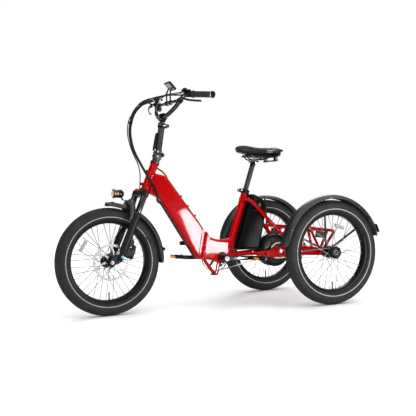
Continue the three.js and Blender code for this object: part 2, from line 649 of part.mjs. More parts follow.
// ---------- seat ----------
const seatClamp = carve(
  weld(bar([0, 0, -8], [0, 0, 14], 23, 12), block([24, 12, 18], [0, -27, 3], 2)),
  drill([0, 0, -30], [0, 0, 8.4], 18.5 + GAP, 12),
  drill([0, 0, -30], [0, 0, 40], 13.5 + GAP, 12),
);
const seatBolt = bar([-15.6, -28, 3], [17, -28, 3], 3.4, 8);
add('seat_clamp', inSeat(weld(seatClamp, seatBolt)), blackPaint);
add('seat_release', inSeat(releaseLever(-1, -28, 3, 23)), silver);

const POST_TOP = 162;
const postClamp = weld(
  inSeat(bar([0, 0, -120], [0, 0, POST_TOP], 13.5, 12)),
  block([42, 44, 9], [0, 292, 741], 2.5),
  bar([-23, 292, 735], [23, 292, 735], 9, 10),
);
add('seat_post', postClamp, blackPaint);

// Cushion: rounded sections from the nose to the tail, as [y, half width, top, bottom]
const saddleSections = [
  [186, 11, 822, 803], [198, 21, 829, 796], [222, 26, 832, 787], [258, 33, 826, 779], [292, 52, 818, 774],
  [324, 82, 813, 770], [360, 104, 812, 769], [392, 107, 815, 771], [412, 96, 816, 779], [424, 76, 812, 788],
];
function cushion(sections, sides) {
  const positions = [];
  for (const [y, half, top, low] of sections) {
    for (let i = 0; i < sides; i += 1) {
      const a = (2 * Math.PI * i) / sides;
      const round = (c) => Math.sign(c) * Math.abs(c) ** 0.75;
      positions.push(half * round(Math.cos(a)), y, (top + low) / 2 + ((top - low) / 2) * round(Math.sin(a)));
    }
  }
  const faces = [];
  for (let r = 0; r < sections.length - 1; r += 1) {
    for (let i = 0; i < sides; i += 1) {
      const [a, b] = [r * sides + i, r * sides + ((i + 1) % sides)];
      faces.push(a, b, b + sides, a, b + sides, a + sides);
    }
  }
  const end = (sections.length - 1) * sides;
  for (let i = 1; i < sides - 1; i += 1) {
    faces.push(0, i + 1, i, end, end + i, end + i + 1);
  }
  const geometry = new THREE.BufferGeometry();
  geometry.setAttribute('position', new THREE.Float32BufferAttribute(positions, 3));
  geometry.setIndex(faces);
  return geometry;
}
add('saddle', cushion(saddleSections, 14), rubber);

const saddleRail = [[10, 236, 776], [22, 262, 751], [22, 330, 751], [44, 372, 764]];
const saddleBase = weld(
  block([96, 96, 6], [0, 364, 764.5], 2),
  block([26, 40, 10], [0, 246, 771], 2),
  ...bothSides((side) => pipe(saddleRail.map((p) => mirrored(p, side)), 3.5, 14, 6, 1)),
  ...bothSides((side) => bar([side * 58, 396, 742], [side * 54, 392, 768], 13, 8)),
  bar([-56, 396, 748], [56, 396, 748], 5, 6),
  block([46, 40, 8], [0, 292, 752], 2),
);
add('saddle_base', saddleBase, plastic);

// ---------- battery ----------
const batterySide = [
  [163, 284], [176, 279], [286, 279], [298, 288], [346, 497], [331, 540], [270, 572], [258, 566],
];
add('battery', sidePlate(batterySide, 76, 0, 8), plastic);

// ---------- hub motor between the dropouts ----------
const [MOTOR_Y, MOTOR_Z] = MOTOR_AXIS;
const motorProfile = [
  [-56, 7], [-56, 18], [-53, 18], [-53, 30], [-48, 30], [-48, 18], [-41, 20], [-38, 76], [-32, MOTOR_R],
  [30, MOTOR_R], [34, 76], [37, 22], [40, 7],
];
const onMotor = (geometry) => geometry.translate(0, MOTOR_Y, MOTOR_Z);
add('motor_shell', onMotor(turned(motorProfile, 26)), blackPaint);
const cassette = [
  [40.5, 7], [40.5, 38], [42.5, 38], [44, 30], [47.5, 30],
  [47.5, 36], [52.5, 36], [54, 25], [57, 24], [57, 7],
];
add('motor_cassette', onMotor(turned(cassette, 18)), brass);
const motorAxle = weld(
  bar([-92, 0, 0], [92, 0, 0], 6, 10),
  ...bothSides((side) => bar([side * 76.5, 0, 0], [side * 87, 0, 0], 11, 6)),
);
add('motor_axle', onMotor(motorAxle), silver);

// ---------- cranks, chainring and pedals ----------
const CHAIN_X = -50.5;
const CHAINRING_R = 70;
const CRANK_DROP = 2; // degrees the left crank points below level, to the rear
const inCrank = leaning(CRANK_DROP, [0, CRANK_Y, CRANK_Z]);

function crankArm(side) {
  const reach = side * CRANK_LENGTH;
  const x = side * 82;
  return [
    bar([x - 7, 0, 0], [x + 7, 0, 0], 17, 12),
    bar([x - 6.5, reach, 0], [x + 6.5, reach, 0], 12, 10),
    sidePlate([[0, -15], [reach, -10], [reach, 10], [0, 15]], 13, x, 3),
    bar([x, reach, 0], [side * 188, reach, 0], 5, 8),
  ];
}
const ringArms = Array.from({ length: 5 }, (_, i) => {
  const a = (2 * Math.PI * i) / 5;
  return block([5, 14, 52], [CHAIN_X, 0, 37], 0).rotateX(a);
});
const chainring = turned([[-2, 56], [-2, CHAINRING_R], [2, CHAINRING_R], [2, 56]], 28);
const ringGuard = turned([[-9, 60], [-9, 79], [-6, 79], [-1, 60]], 28);
const crankRight = weld(
  ...crankArm(-1),
  bar([-76, 0, 0], [66, 0, 0], 8.4, 12),
  bar([CHAIN_X - 6, 0, 0], [-38, 0, 0], 20, 12),
  chainring.translate(CHAIN_X, 0, 0),
  ringGuard.translate(CHAIN_X, 0, 0),
  ...ringArms,
);
add('crank_right', inCrank(crankRight), blackPaint);
const spindleSocket = drill([20, 0, 0], [72, 0, 0], 8.4 + GAP, 12);
const leftArm = weld(...crankArm(1), bar([37, 0, 0], [78, 0, 0], 16, 12));
add('crank_left', inCrank(carve(leftArm, spindleSocket)), blackPaint);

const pedal = carve(
  weld(block([90, 62, 17], [146, 0, 0], 3), bar([97, 0, 0], [191, 0, 0], 10, 8)),
  ...bothSides((end) => block([64, 13, 40], [146, end * 18, 0], 0)),
  drill([80, 0, 0], [189, 0, 0], 5 + GAP, 8),
);
for (const [name, side] of Object.entries(SIDES)) {
  const turnedPedal = pedal.clone().scale(side, 1, 1).translate(0, side * CRANK_LENGTH, 0);
  add(`pedal_${name}`, inCrank(turnedPedal), plastic);
}

// ---------- chains ----------
// A flat loop round two sprockets: the outline is the outer tangents with arcs at both ends.
function chainLoop(a, radiusA, b, radiusB, thickness, width, x) {
  const [dy, dz] = [b[0] - a[0], b[1] - a[1]];
  const heading = Math.atan2(dz, dy);
  const spread = Math.acos((radiusA - radiusB) / Math.hypot(dy, dz));
  const outline = (extra) => {
    const points = [];
    const arc = ([y, z], r, from, to) => {
      for (let i = 0; i <= 9; i += 1) {
        const angle = from + ((to - from) * i) / 9;
        points.push(new THREE.Vector2(y + (r + extra) * Math.cos(angle), z + (r + extra) * Math.sin(angle)));
      }
    };
    arc(a, radiusA, heading + spread, heading + 2 * Math.PI - spread);
    arc(b, radiusB, heading - spread, heading + spread);
    return points;
  };
  const shape = new THREE.Shape(outline(thickness));
  shape.holes.push(new THREE.Path(outline(0).reverse()));
  const geometry = new THREE.ExtrudeGeometry(shape, { depth: width, bevelEnabled: false });
  return geometry.rotateY(Math.PI / 2).rotateX(Math.PI / 2).translate(x - width / 2, 0, 0);
}
const CHAIN_THICK = 7;
add('drive_chain', chainLoop(CRANK_AXIS, CHAINRING_R + 2, MOTOR_AXIS, 31.5, CHAIN_THICK, 6, CHAIN_X), steel);
add('axle_chain', chainLoop(MOTOR_AXIS, 37, [REAR_AXLE_Y, WHEEL_R], 37, CHAIN_THICK, 6, 50), steel);

// ---------- rear carriage: axle housing, side struts and cargo rails ----------
const ARM_X = 86;
const END_X = 290;
const armSide = [[440, 292], [470, 296], [545, 290], [562, 265], [545, 240], [440, 243]];
const endSide = [[508, 262], [522, 292], [550, 292], [564, 262], [552, 240], [520, 240]];
const RAIL_FRONT = [RAIL_X, 480, 388];
const RAIL_REAR = [RAIL_X, 630, 365];
const TUBE_R = 7.5;
const carriageSide = (side) => weld(
  bar([side * 79.5, REAR_AXLE_Y, WHEEL_R], [side * (END_X + 4), REAR_AXLE_Y, WHEEL_R], 19, 12),
  sidePlate(armSide, 9, side * ARM_X, 0),
  sidePlate(endSide, 9, side * END_X, 0),
  bar([side * 88, 452, 284], [side * (END_X - 2), 530, 276], 9, 8),
  bar([side * 88, 452, 248], [side * (END_X - 2), 530, 254], 9, 8),
  pipe([RAIL_FRONT, RAIL_REAR, [RAIL_X, 564, 280]].map((p) => mirrored(p, side)), TUBE_R, 16, 8, 2),
  bar([side * RAIL_X, 481, 386], [side * RAIL_X, 532, 281], TUBE_R, 8),
  bar([side * RAIL_X, 586, 370], [side * RAIL_X, 541, 281], TUBE_R, 8),
  bar([side * 216, 482, 386], [side * 216, 503, 282], TUBE_R, 8),
);
const carriage = weld(
  ...bothSides(carriageSide),
  bar(mirrored(RAIL_FRONT, -1), RAIL_FRONT, 8, 8),
  bar([-RAIL_X, 622, 366.5], [RAIL_X, 622, 366.5], TUBE_R, 8),
);
const shaftBore = alongX(320, [REAR_AXLE_Y, WHEEL_R], 9.2, 12);
add('rear_carriage', carve(carriage, shaftBore), red);

// The driven shaft reaches the left wheel, and the right wheel runs free on a stub of its own
const onAxle = (x) => [x, REAR_AXLE_Y, WHEEL_R];
const axleShaft = weld(
  bar(onAxle(-283), onAxle(383), 8.4, 12),
  turned([[47.5, 5], [47.5, 36], [52.5, 36], [52.5, 5]], 18).translate(0, REAR_AXLE_Y, WHEEL_R),
);
add('axle_shaft', axleShaft, steel);
add('stub_axle', bar(onAxle(-383), onAxle(-287), 8.4, 12), steel);

// ---------- rear mudguards with their stays and reflectors ----------
const REAR_GUARD_R = 288;
const GUARD_X = TRACK / 2 - 36;
const GUARD_STAYS = [92, 152, 31]; // degrees up from the rear
const hubRing = turned([[295.2, 10], [295.2, 24], [298.5, 24], [298.5, 10]], 12);
const guardStays = GUARD_STAYS.map((degrees) => {
  const angle = THREE.MathUtils.degToRad(degrees);
  const at = (x, r) => [x, r * Math.cos(angle), r * Math.sin(angle)];
  return bar(at(299, 18), at(GUARD_X, 280), 4, 6);
});
const rearGuard = weld(
  mudguard(REAR_GUARD_R, 37, 14, 171, 15).translate(TRACK / 2, 0, 0),
  hubRing,
  ...guardStays,
).translate(0, REAR_AXLE_Y, WHEEL_R);
const reflector = block([44, 46, 8], [0, 0, 300.5], 2)
  .rotateX(THREE.MathUtils.degToRad(21.5 - 90))
  .translate(TRACK / 2, REAR_AXLE_Y, WHEEL_R);
for (const [name, side] of Object.entries(SIDES)) {
  add(`mudguard_${name}`, rearGuard.clone().scale(side, 1, 1), plastic);
  add(`tail_reflector_${name}`, reflector.clone().scale(side, 1, 1), redLens);
}

// ---------- cables: one wrapped harness to the frame, one hose to the front brake ----------
const harness = [
  [-196, -200, 1080], [-150, -262, 1066], [-74, -352, 1000], [-20, -396, 905],
  [4, -388, 810], [26, -348, 722], [32, -322, 672], [36, -292, 622],
  [36, -278, 584], [20, -274, 552], [12, -253, 543], [12, -73, 249],
];
add('harness', pipe(harness, 5, 26, 6, 2), rubber);
const hoseTop = [
  [212, -206, 1068], [150, -262, 1066], [30, -336, 1040], [-34, -390, 975],
  [-10, -412, 895], [18, -402, 810], [42, -366, 716],
];
const hoseLow = [[42, -38, -10], [43, -38, -78], [43, -24, -150], [43, 4, -226], [52, 31, -277]];
const fromFork = (p) => {
  const tipped = v3(p).applyAxisAngle(new THREE.Vector3(1, 0, 0), THREE.MathUtils.degToRad(-HEAD_LEAN));
  return tipped.add(v3(HEAD_LOW)).toArray();
};
add('brake_hose', pipe([...hoseTop, ...hoseLow.map(fromFork)], 2.5, 24, 6, 2), rubber);

export default group;
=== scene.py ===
import math

import bmesh
import bpy
from mathutils import Matrix, Quaternion, Vector


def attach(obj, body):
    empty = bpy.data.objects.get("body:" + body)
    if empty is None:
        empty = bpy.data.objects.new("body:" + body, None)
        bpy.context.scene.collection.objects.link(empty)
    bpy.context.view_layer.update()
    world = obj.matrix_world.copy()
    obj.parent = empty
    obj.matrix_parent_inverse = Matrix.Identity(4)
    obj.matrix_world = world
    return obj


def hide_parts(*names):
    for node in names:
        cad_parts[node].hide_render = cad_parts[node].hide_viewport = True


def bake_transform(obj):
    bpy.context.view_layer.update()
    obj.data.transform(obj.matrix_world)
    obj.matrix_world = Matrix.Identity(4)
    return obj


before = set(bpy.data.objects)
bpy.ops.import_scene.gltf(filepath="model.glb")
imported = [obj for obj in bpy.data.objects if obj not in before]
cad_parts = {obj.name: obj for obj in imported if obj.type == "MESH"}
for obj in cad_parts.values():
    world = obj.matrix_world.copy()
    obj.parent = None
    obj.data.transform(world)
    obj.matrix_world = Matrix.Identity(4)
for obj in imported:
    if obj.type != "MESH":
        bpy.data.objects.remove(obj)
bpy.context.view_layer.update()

# Pieces are laid out in millimetres from the point midway between the axles, as in the CAD source,
# and placed() turns that into metres in the part's frame.
CENTRE_Y = 13.0
MM = 0.001
VIEW_AZIMUTH, VIEW_ELEVATION, VIEW_ROLL = (math.radians(d) for d in (64.95, 1.57, -1.82))
VIEW_DISTANCE = 4.122  # metres from the aimed point
AIM_RIGHT, AIM_UP = 10, 107  # millimetres in the picture's own directions
IMAGE_SIZE, FOCAL_PIXELS, SENSOR = 416, 795, 36.0


def placed(points):
    return [Vector((x * MM, (y - CENTRE_Y) * MM, z * MM)) for x, y, z in points]


def show(obj):
    bpy.context.scene.collection.objects.link(obj)


# ---------- camera ---------------------------------------
def aim_camera():
    azimuth, elevation, roll = VIEW_AZIMUTH, VIEW_ELEVATION, VIEW_ROLL
    back = Vector((math.sin(azimuth) * math.cos(elevation), -math.cos(azimuth) * math.cos(elevation),
        math.sin(elevation)))
    level = (-back).cross(Vector((0, 0, 1))).normalized()
    upright = level.cross(-back)
    right = level * math.cos(roll) + upright * math.sin(roll)
    up = upright * math.cos(roll) - level * math.sin(roll)
    target = placed([(0, 0, 400)])[0] + (AIM_RIGHT * right + AIM_UP * up) * MM
    data = bpy.data.cameras.new("view")
    data.sensor_width = SENSOR
    data.lens = FOCAL_PIXELS / IMAGE_SIZE * SENSOR
    data.clip_end = 60.0
    camera = bpy.data.objects.new("view", data)
    camera.matrix_world = Matrix(((right.x, up.x, back.x, 0), (right.y, up.y, back.y, 0),
        (right.z, up.z, back.z, 0), (0, 0, 0, 1),))
    camera.location = target + back * VIEW_DISTANCE
    show(camera)
    bpy.context.scene.camera = camera


aim_camera()


# ---------- materials ----------
def material(name, color, roughness, metallic=0.0, vary=0.12, scale=60.0, bump=0.05, bump_scale=900.0, coat=0.0,
    pattern="noise", transmission=0.0, wear=0.15, distance=0.0004, gloss=0.16):
    """Colour and roughness drift with a large soft noise, and a fine pattern gives the bump."""
    mat = bpy.data.materials.new(name)
    mat.use_nodes = True
    nodes, links = mat.node_tree.nodes, mat.node_tree.links
    shader = nodes["Principled BSDF"]

    def node(kind, vector=None, **values):
        made = nodes.new("ShaderNode" + kind)
        for key, value in values.items():
            made.inputs[key.replace("_", " ")].default_value = value
        if vector:
            links.new(vector, made.inputs["Vector"])
        return made

    shader.inputs["Metallic"].default_value = metallic
    shader.inputs["Coat Weight"].default_value = coat
    shader.inputs["Coat Roughness"].default_value = 0.035
    shader.inputs["Transmission Weight"].default_value = transmission
    shader.inputs["Specular IOR Level"].default_value = gloss
    where = nodes.new("ShaderNodeTexCoord").outputs["Object"]
    drift = node("TexNoise", where, Scale=scale, Detail=4.0)
    mix = nodes.new("ShaderNodeMix")
    mix.data_type = "RGBA"
    mix.inputs["A"].default_value = (*(c * (1 - vary) for c in color), 1)
    mix.inputs["B"].default_value = (*(min(1.0, c * (1 + vary) + 0.004 * vary) for c in color), 1)
    links.new(drift.outputs["Fac"], mix.inputs["Factor"])
    links.new(mix.outputs["Result"], shader.inputs["Base Color"])
    span = node("MapRange", To_Min=max(0.02, roughness * (1 - wear)), To_Max=min(1.0, roughness * (1 + wear)))
    links.new(node("TexNoise", where, Scale=scale * 4.1, Detail=6.0).outputs["Fac"], span.inputs["Value"])
    links.new(span.outputs["Result"], shader.inputs["Roughness"])
    if pattern == "grain":
        fine = node("TexVoronoi", where, Scale=bump_scale)
        fine.feature = "DISTANCE_TO_EDGE"
        height = fine.outputs["Distance"]
    elif pattern == "weave":
        fine = node("TexWave", where, Scale=bump_scale, Distortion=1.5)
        fine.wave_type, fine.bands_direction = "BANDS", "DIAGONAL"
        height = fine.outputs["Fac"]
    elif pattern == "brushed":
        stretch = node("Mapping", where, Scale=(0.08, 1.0, 1.0))
        height = node("TexNoise", stretch.outputs["Vector"], Scale=bump_scale).outputs["Fac"]
    else:
        height = node("TexNoise", where, Scale=bump_scale, Detail=2.0).outputs["Fac"]
    relief = node("Bump", Strength=bump, Distance=distance)
    links.new(height, relief.inputs["Height"])
    links.new(relief.outputs["Normal"], shader.inputs["Normal"])
    return mat


RED = material("red_enamel", (0.44, 0.0006, 0.002), 0.26, vary=0.08, scale=14, bump=0.10, bump_scale=420,
    coat=0.2, distance=0.00012, gloss=0.005)
BLACK_SATIN = material("black_anodised", (0.004, 0.004, 0.0045), 0.34, 0.3, vary=0.3, bump=0.12,
    bump_scale=1500)
BLACK_GLOSS = material("black_gloss_paint", (0.002, 0.002, 0.0025), 0.16, vary=0.3, scale=22, bump=0.12,
    bump_scale=380, coat=0.7, distance=0.0001, gloss=0.2)
STEM_GREY = material("stem_anodised", (0.045, 0.045, 0.047), 0.32, 0.6, vary=0.25, bump=0.15, bump_scale=1400)
FORK_GREY = material("fork_magnesium", (0.009, 0.0093, 0.010), 0.36, 0.25, vary=0.3, bump=0.2, bump_scale=1300)
RUBBER = material("tyre_rubber", (0.0120, 0.0108, 0.0095), 0.60, vary=0.8, scale=26, bump=0.35, bump_scale=1100,
    wear=0.25, gloss=0.22)
STRIPE = material("reflective_stripe", (0.30, 0.31, 0.32), 0.42, 0.3, vary=0.12, bump=0.5, bump_scale=2400,
    pattern="grain")
GRIP = material("grip_rubber", (0.026, 0.026, 0.027), 0.62, vary=0.3, bump=0.5, bump_scale=700, pattern="grain")
PLASTIC = material("black_plastic", (0.0035, 0.0035, 0.004), 0.40, vary=0.25, bump=0.35, bump_scale=1600,
    pattern="grain")
BATTERY_BLACK = material("battery_plastic", (0.0028, 0.0028, 0.003), 0.32, vary=0.3, bump=0.3, bump_scale=1500,
    pattern="grain", gloss=0.07)
GUARD = material("mudguard_plastic", (0.0045, 0.0045, 0.005), 0.40, vary=0.3, scale=12, bump=0.10,
    bump_scale=500, coat=0.08, gloss=0.5)
LEATHER = material("saddle_cover", (0.020, 0.020, 0.0205), 0.42, vary=0.35, scale=30, bump=0.55, bump_scale=620,
    pattern="grain")
SILVER = material("polished_alloy", (0.50, 0.51, 0.52), 0.28, 1.0, vary=0.08, bump=0.15, bump_scale=900,
    pattern="brushed")
STEEL = material("steel", (0.30, 0.30, 0.31), 0.32, 1.0, vary=0.2, scale=120, bump=0.2, bump_scale=1600,
    pattern="brushed")
SPOKE = material("spoke_steel", (0.16, 0.155, 0.15), 0.4, 0.85, vary=0.15, scale=200, bump=0.1)
CHAIN = material("chain_steel", (0.22, 0.20, 0.18), 0.36, 0.9, vary=0.3, scale=220, bump=0.3)
COG_DARK = material("cog_steel", (0.060, 0.046, 0.030), 0.46, 0.8, vary=0.3, scale=150, bump=0.3)
BRASS = material("bronze_steel", (0.26, 0.17, 0.075), 0.34, 1.0, vary=0.2, scale=150, bump=0.2)
LENS = material("clear_lens", (0.90, 0.93, 0.95), 0.06, vary=0.03, bump=0.5, bump_scale=260, pattern="weave",
    coat=0.6, transmission=0.6)
RED_LENS = material("red_reflector", (0.92, 0.025, 0.015), 0.16, vary=0.1, bump=0.9, bump_scale=330,
    pattern="grain", coat=0.5, distance=0.0008)
AMBER = material("amber_reflector", (0.90, 0.30, 0.010), 0.18, vary=0.1, bump=0.9, bump_scale=360,
    pattern="grain", coat=0.5, distance=0.0008)
PALE_LENS = material("pale_reflector", (0.56, 0.56, 0.54), 0.24, vary=0.05, bump=0.9, bump_scale=330,
    pattern="grain", transmission=0.35, distance=0.0008)
BLUE = material("sky_blue_plastic", (0.10, 0.55, 0.85), 0.36, vary=0.08, bump=0.2)
# The display's back plate is painted a light grey that stands in for the white floor's reflection on it: a
# painted reflection.
DISPLAY_BACK_PAINTED_REFLECTION = material("display_back_painted_reflection", (0.34, 0.34, 0.345), 0.34, vary=0.1, bump=0.2, bump_scale=1200)
SCREEN = material("display_glass", (0.09, 0.095, 0.10), 0.12, vary=0.1, scale=8, bump=0.03, coat=0.6)
CABLE = material("cable_cover", (0.0045, 0.0045, 0.005), 0.42, vary=0.3, bump=0.6, bump_scale=900,
    pattern="weave")
ROTOR = material("rotor_steel", (0.25, 0.25, 0.252), 0.40, 0.9, vary=0.2, scale=90, bump=0.3, bump_scale=1500,
    pattern="brushed")
ARCH_GREY = material("cast_arch_alloy", (0.055, 0.056, 0.058), 0.34, 0.5, vary=0.15, bump=0.25, bump_scale=1200)
RED_KNOB = material("red_knob", (0.66, 0.01, 0.012), 0.32, 0.3, bump=0.3)
BUTTON_RED = material("button_red", (0.75, 0.02, 0.02), 0.3, bump=0.1)


# ---------- shapes, in millimetres ----------
def axes_along(direction):
    """Two directions square to this one."""
    side = direction.orthogonal().normalized()
    return side, direction.cross(side).normalized()


def rings_to_faces(count, sides, closed=False):
    faces = []
    for i in range(count if closed else count - 1):
        for j in range(sides):
            a, b = i * sides + j, i * sides + (j + 1) % sides
            c, d = ((i + 1) % count) * sides + (j + 1) % sides, ((i + 1) % count) * sides + j
            faces.append((a, b, c, d))
    return faces


def capped(count, sides):
    """The faces of a row of rings, closed at both ends."""
    last = (count - 1) * sides
    return [*rings_to_faces(count, sides), tuple(reversed(range(sides))), tuple(last + j for j in range(sides))]


def turns(count, shift=0.0):
    """The angles that share out a full turn."""
    return [2 * math.pi * (k + shift) / count for k in range(count)]


def spun(start, end, sides):
    """The start, the axis towards end (or along +X), and the directions round it."""
    start = Vector(start)
    axis = Vector((1, 0, 0)) if end is None else (Vector(end) - start).normalized()
    side, other = axes_along(axis)
    return start, axis, [side * math.cos(t) + other * math.sin(t) for t in turns(sides)]


def lathe(profile, start, end=None, sides=32):
    """Turned about a line: the profile is (distance along, radius) pairs from cap to cap."""
    start, axis, rim = spun(start, end, sides)
    verts = [start + axis * along + out * radius for along, radius in profile for out in rim]
    return verts, capped(len(profile), sides)


def ring(profile, start, end=None, sides=48):
    """Turned about a line, from a profile that closes on itself."""
    start, axis, rim = spun(start, end, sides)
    verts = [start + axis * along + out * radius for out in rim for along, radius in profile]
    return verts, rings_to_faces(sides, len(profile), closed=True)


def bar(start, end, radius, radius_to=None, sides=28, ease=0.8):
    """A round bar with eased ends."""
    length = (Vector(end) - Vector(start)).length
    tip = radius if radius_to is None else radius_to
    e = min(ease, length / 4, radius / 3, tip / 3)
    return lathe([(0, radius - e), (e * 0.3, radius - e * 0.3), (e, radius), (length - e, tip),
        (length - e * 0.3, tip - e * 0.3), (length, tip - e)], start, end, sides)


def corner(before, here, after, bend, cuts):
    """The curve that rounds off one corner."""
    reach = min(bend, 0.45 * (here - before).length, 0.45 * (after - here).length)
    a = here + (before - here).normalized() * reach
    b = here + (after - here).normalized() * reach
    return [a * (1 - t) ** 2 + here * 2 * t * (1 - t) + b * t ** 2 for t in (i / cuts for i in range(cuts + 1))]


def rounded(points, bend, cuts=7):
    """The points of a path of straight runs whose corners are rounded."""
    points = [Vector(p) for p in points]
    bends = [p for trio in zip(points, points[1:], points[2:]) for p in corner(*trio, bend, cuts)]
    return [points[0], *bends, points[-1]]


def softened(profile, bend):
    """A closed (y, z) profile with its corners rounded."""
    points = [Vector(p) for p in profile]
    trios = zip([points[-1], *points], points, [*points[1:], points[0]])
    return [tuple(p) for trio in trios for p in corner(*trio, bend, 4)]


def smooth_path(points, steps=8):
    """A Catmull-Rom curve through the points."""
    points = [Vector(p) for p in points]
    padded = [points[0] * 2 - points[1], *points, points[-1] * 2 - points[-2]]
    path = []
    for a, b, c, d in zip(padded, padded[1:], padded[2:], padded[3:]):
        for i in range(steps):
            t = i / steps
            path.append(0.5 * ((2 * b) + (c - a) * t + (2 * a - 5 * b + 4 * c - d) * t * t
                + (3 * b - a - 3 * c + d) * t ** 3))
    path.append(points[-1])
    return path


def sweep(path, section, upright=None):
    """A section of (across, up) pairs, or a function giving one from 0 to 1, carried along untwisted."""
    verts = []
    count = len(path)
    directions = [(path[min(i + 1, count - 1)] - path[max(i - 1, 0)]).normalized() for i in range(count)]
    side = upright.cross(directions[0]).normalized() if upright else axes_along(directions[0])[0]
    sides = 0
    for i, (point, ahead) in enumerate(zip(path, directions)):
        if i:
            turn = directions[i - 1].rotation_difference(ahead)
            side = (turn @ side).normalized()
        up = ahead.cross(side).normalized()
        shape = section(i / (count - 1)) if callable(section) else section
        sides = len(shape)
        verts.extend(point + side * a + up * b for a, b in shape)
    return verts, capped(count, sides)


def oval(across, up, sides=16, power=1.0):
    """A closed section; a power below 1 squares it off."""
    return [(across * math.copysign(abs(math.cos(a)) ** power, math.cos(a)),
        up * math.copysign(abs(math.sin(a)) ** power, math.sin(a))) for a in turns(sides)]


def circle(radius, sides=20):
    return oval(radius, radius, sides)


def pipe(points, radius, bend=12, sides=20, cuts=7):
    return sweep(rounded(points, bend, cuts), circle(radius, sides))


def strap(points, width, thickness, bend=10):
    """A strap with round edges, wide across the trike."""
    w, t = width / 2, thickness / 2
    e = t * 0.6
    section = [(w - e, -t), (w, -t + e), (w, t - e), (w - e, t), (-w + e, t), (-w, t - e), (-w, -t + e),
        (-w + e, -t)]
    path = rounded(points, bend)
    verts = []
    for i, point in enumerate(path):
        ahead = (path[min(i + 1, len(path) - 1)] - path[max(i - 1, 0)]).normalized()
        up = ahead.cross(Vector((1, 0, 0)))
        across = Vector((1, 0, 0)) if up.length > 0.2 else Vector((0, 1, 0))
        up = ahead.cross(across).normalized()
        side = up.cross(ahead).normalized()
        verts.extend(point + side * a + up * b for a, b in section)
    return verts, capped(len(path), len(section))


def block(size, middle, ease=2.0, turn=None, segments=3):
    """A block with rounded edges."""
    mesh = bmesh.new()
    bmesh.ops.create_cube(mesh, size=1.0)
    bmesh.ops.scale(mesh, vec=size, verts=mesh.verts)
    e = min(ease, *(s / 2.2 for s in size))
    bmesh.ops.bevel(mesh, geom=list(mesh.edges), offset=e, segments=segments, profile=0.5, affect="EDGES")
    if turn:
        bmesh.ops.rotate(mesh, cent=(0, 0, 0), matrix=turn, verts=mesh.verts)
    mesh.verts.index_update()
    verts = [v.co + Vector(middle) for v in mesh.verts]
    faces = [tuple(v.index for v in f.verts) for f in mesh.faces]
    mesh.free()
    return verts, faces


def baked(obj):
    """The object's mesh with its modifiers applied."""
    return bpy.data.meshes.new_from_object(obj.evaluated_get(bpy.context.evaluated_depsgraph_get()))


def plate(profile, width, x, ease=1.0, holes=(), resolution=2):
    """A side profile of (y, z) pairs given a width across the trike, with eased rims and round holes."""
    curve = bpy.data.curves.new("plate", "CURVE")
    curve.dimensions = "2D"
    curve.fill_mode = "BOTH"
    curve.extrude = width / 2 - ease
    curve.bevel_depth = ease
    curve.bevel_resolution = resolution
    curve.offset = -ease
    outlines = [profile]
    for y, z, r in holes:
        outlines.append([(y + a, z + b) for a, b in circle(r, max(12, int(r * 1.2)))])
    for outline in outlines:
        spline = curve.splines.new("POLY")
        spline.points.add(len(outline) - 1)
        for point, (y, z) in zip(spline.points, outline):
            point.co = (y, z, 0, 1)
        spline.use_cyclic_u = True
    holder = bpy.data.objects.new("plate", curve)
    show(holder)
    made = baked(holder)
    verts = [Vector((v.co.z + x, v.co.x, v.co.y)) for v in made.vertices]
    faces = [tuple(f.vertices) for f in made.polygons]
    bpy.data.objects.remove(holder)
    bpy.data.curves.remove(curve)
    bpy.data.meshes.remove(made)
    return verts, faces


def shifted(part, move):
    verts, faces = part
    return [v + Vector(move) for v in verts], faces


def mirrored(part, side=-1):
    if side > 0:
        return part
    verts, faces = part
    return [Vector((-v.x, v.y, v.z)) for v in verts], [tuple(reversed(f)) for f in faces]


def leaning(degrees, foot):
    turn = Matrix.Rotation(math.radians(-degrees), 3, "X")

    def place(part):
        verts, faces = part
        return [turn @ v + Vector(foot) for v in verts], faces

    return place


def each(place, parts):
    return [place(p) for p in parts]


def screw(at, way, radius=3.2, height=3.0):
    """A button-head screw with a hex socket, standing on at and facing way."""
    at, way = Vector(at), Vector(way).normalized()
    return lathe([(-0.5, radius), (height * 0.45, radius), (height * 0.85, radius * 0.75),
        (height, radius * 0.5), (height * 0.98, radius * 0.42), (height * 0.4, radius * 0.38)], at, at + way,
        12)


def hex_nut(at, way, radius=8.0, height=6.0):
    at, way = Vector(at), Vector(way).normalized()
    return lathe([(0, radius * 0.9), (0.6, radius), (height - 0.8, radius), (height, radius * 0.88)], at, at
        + way, 6)


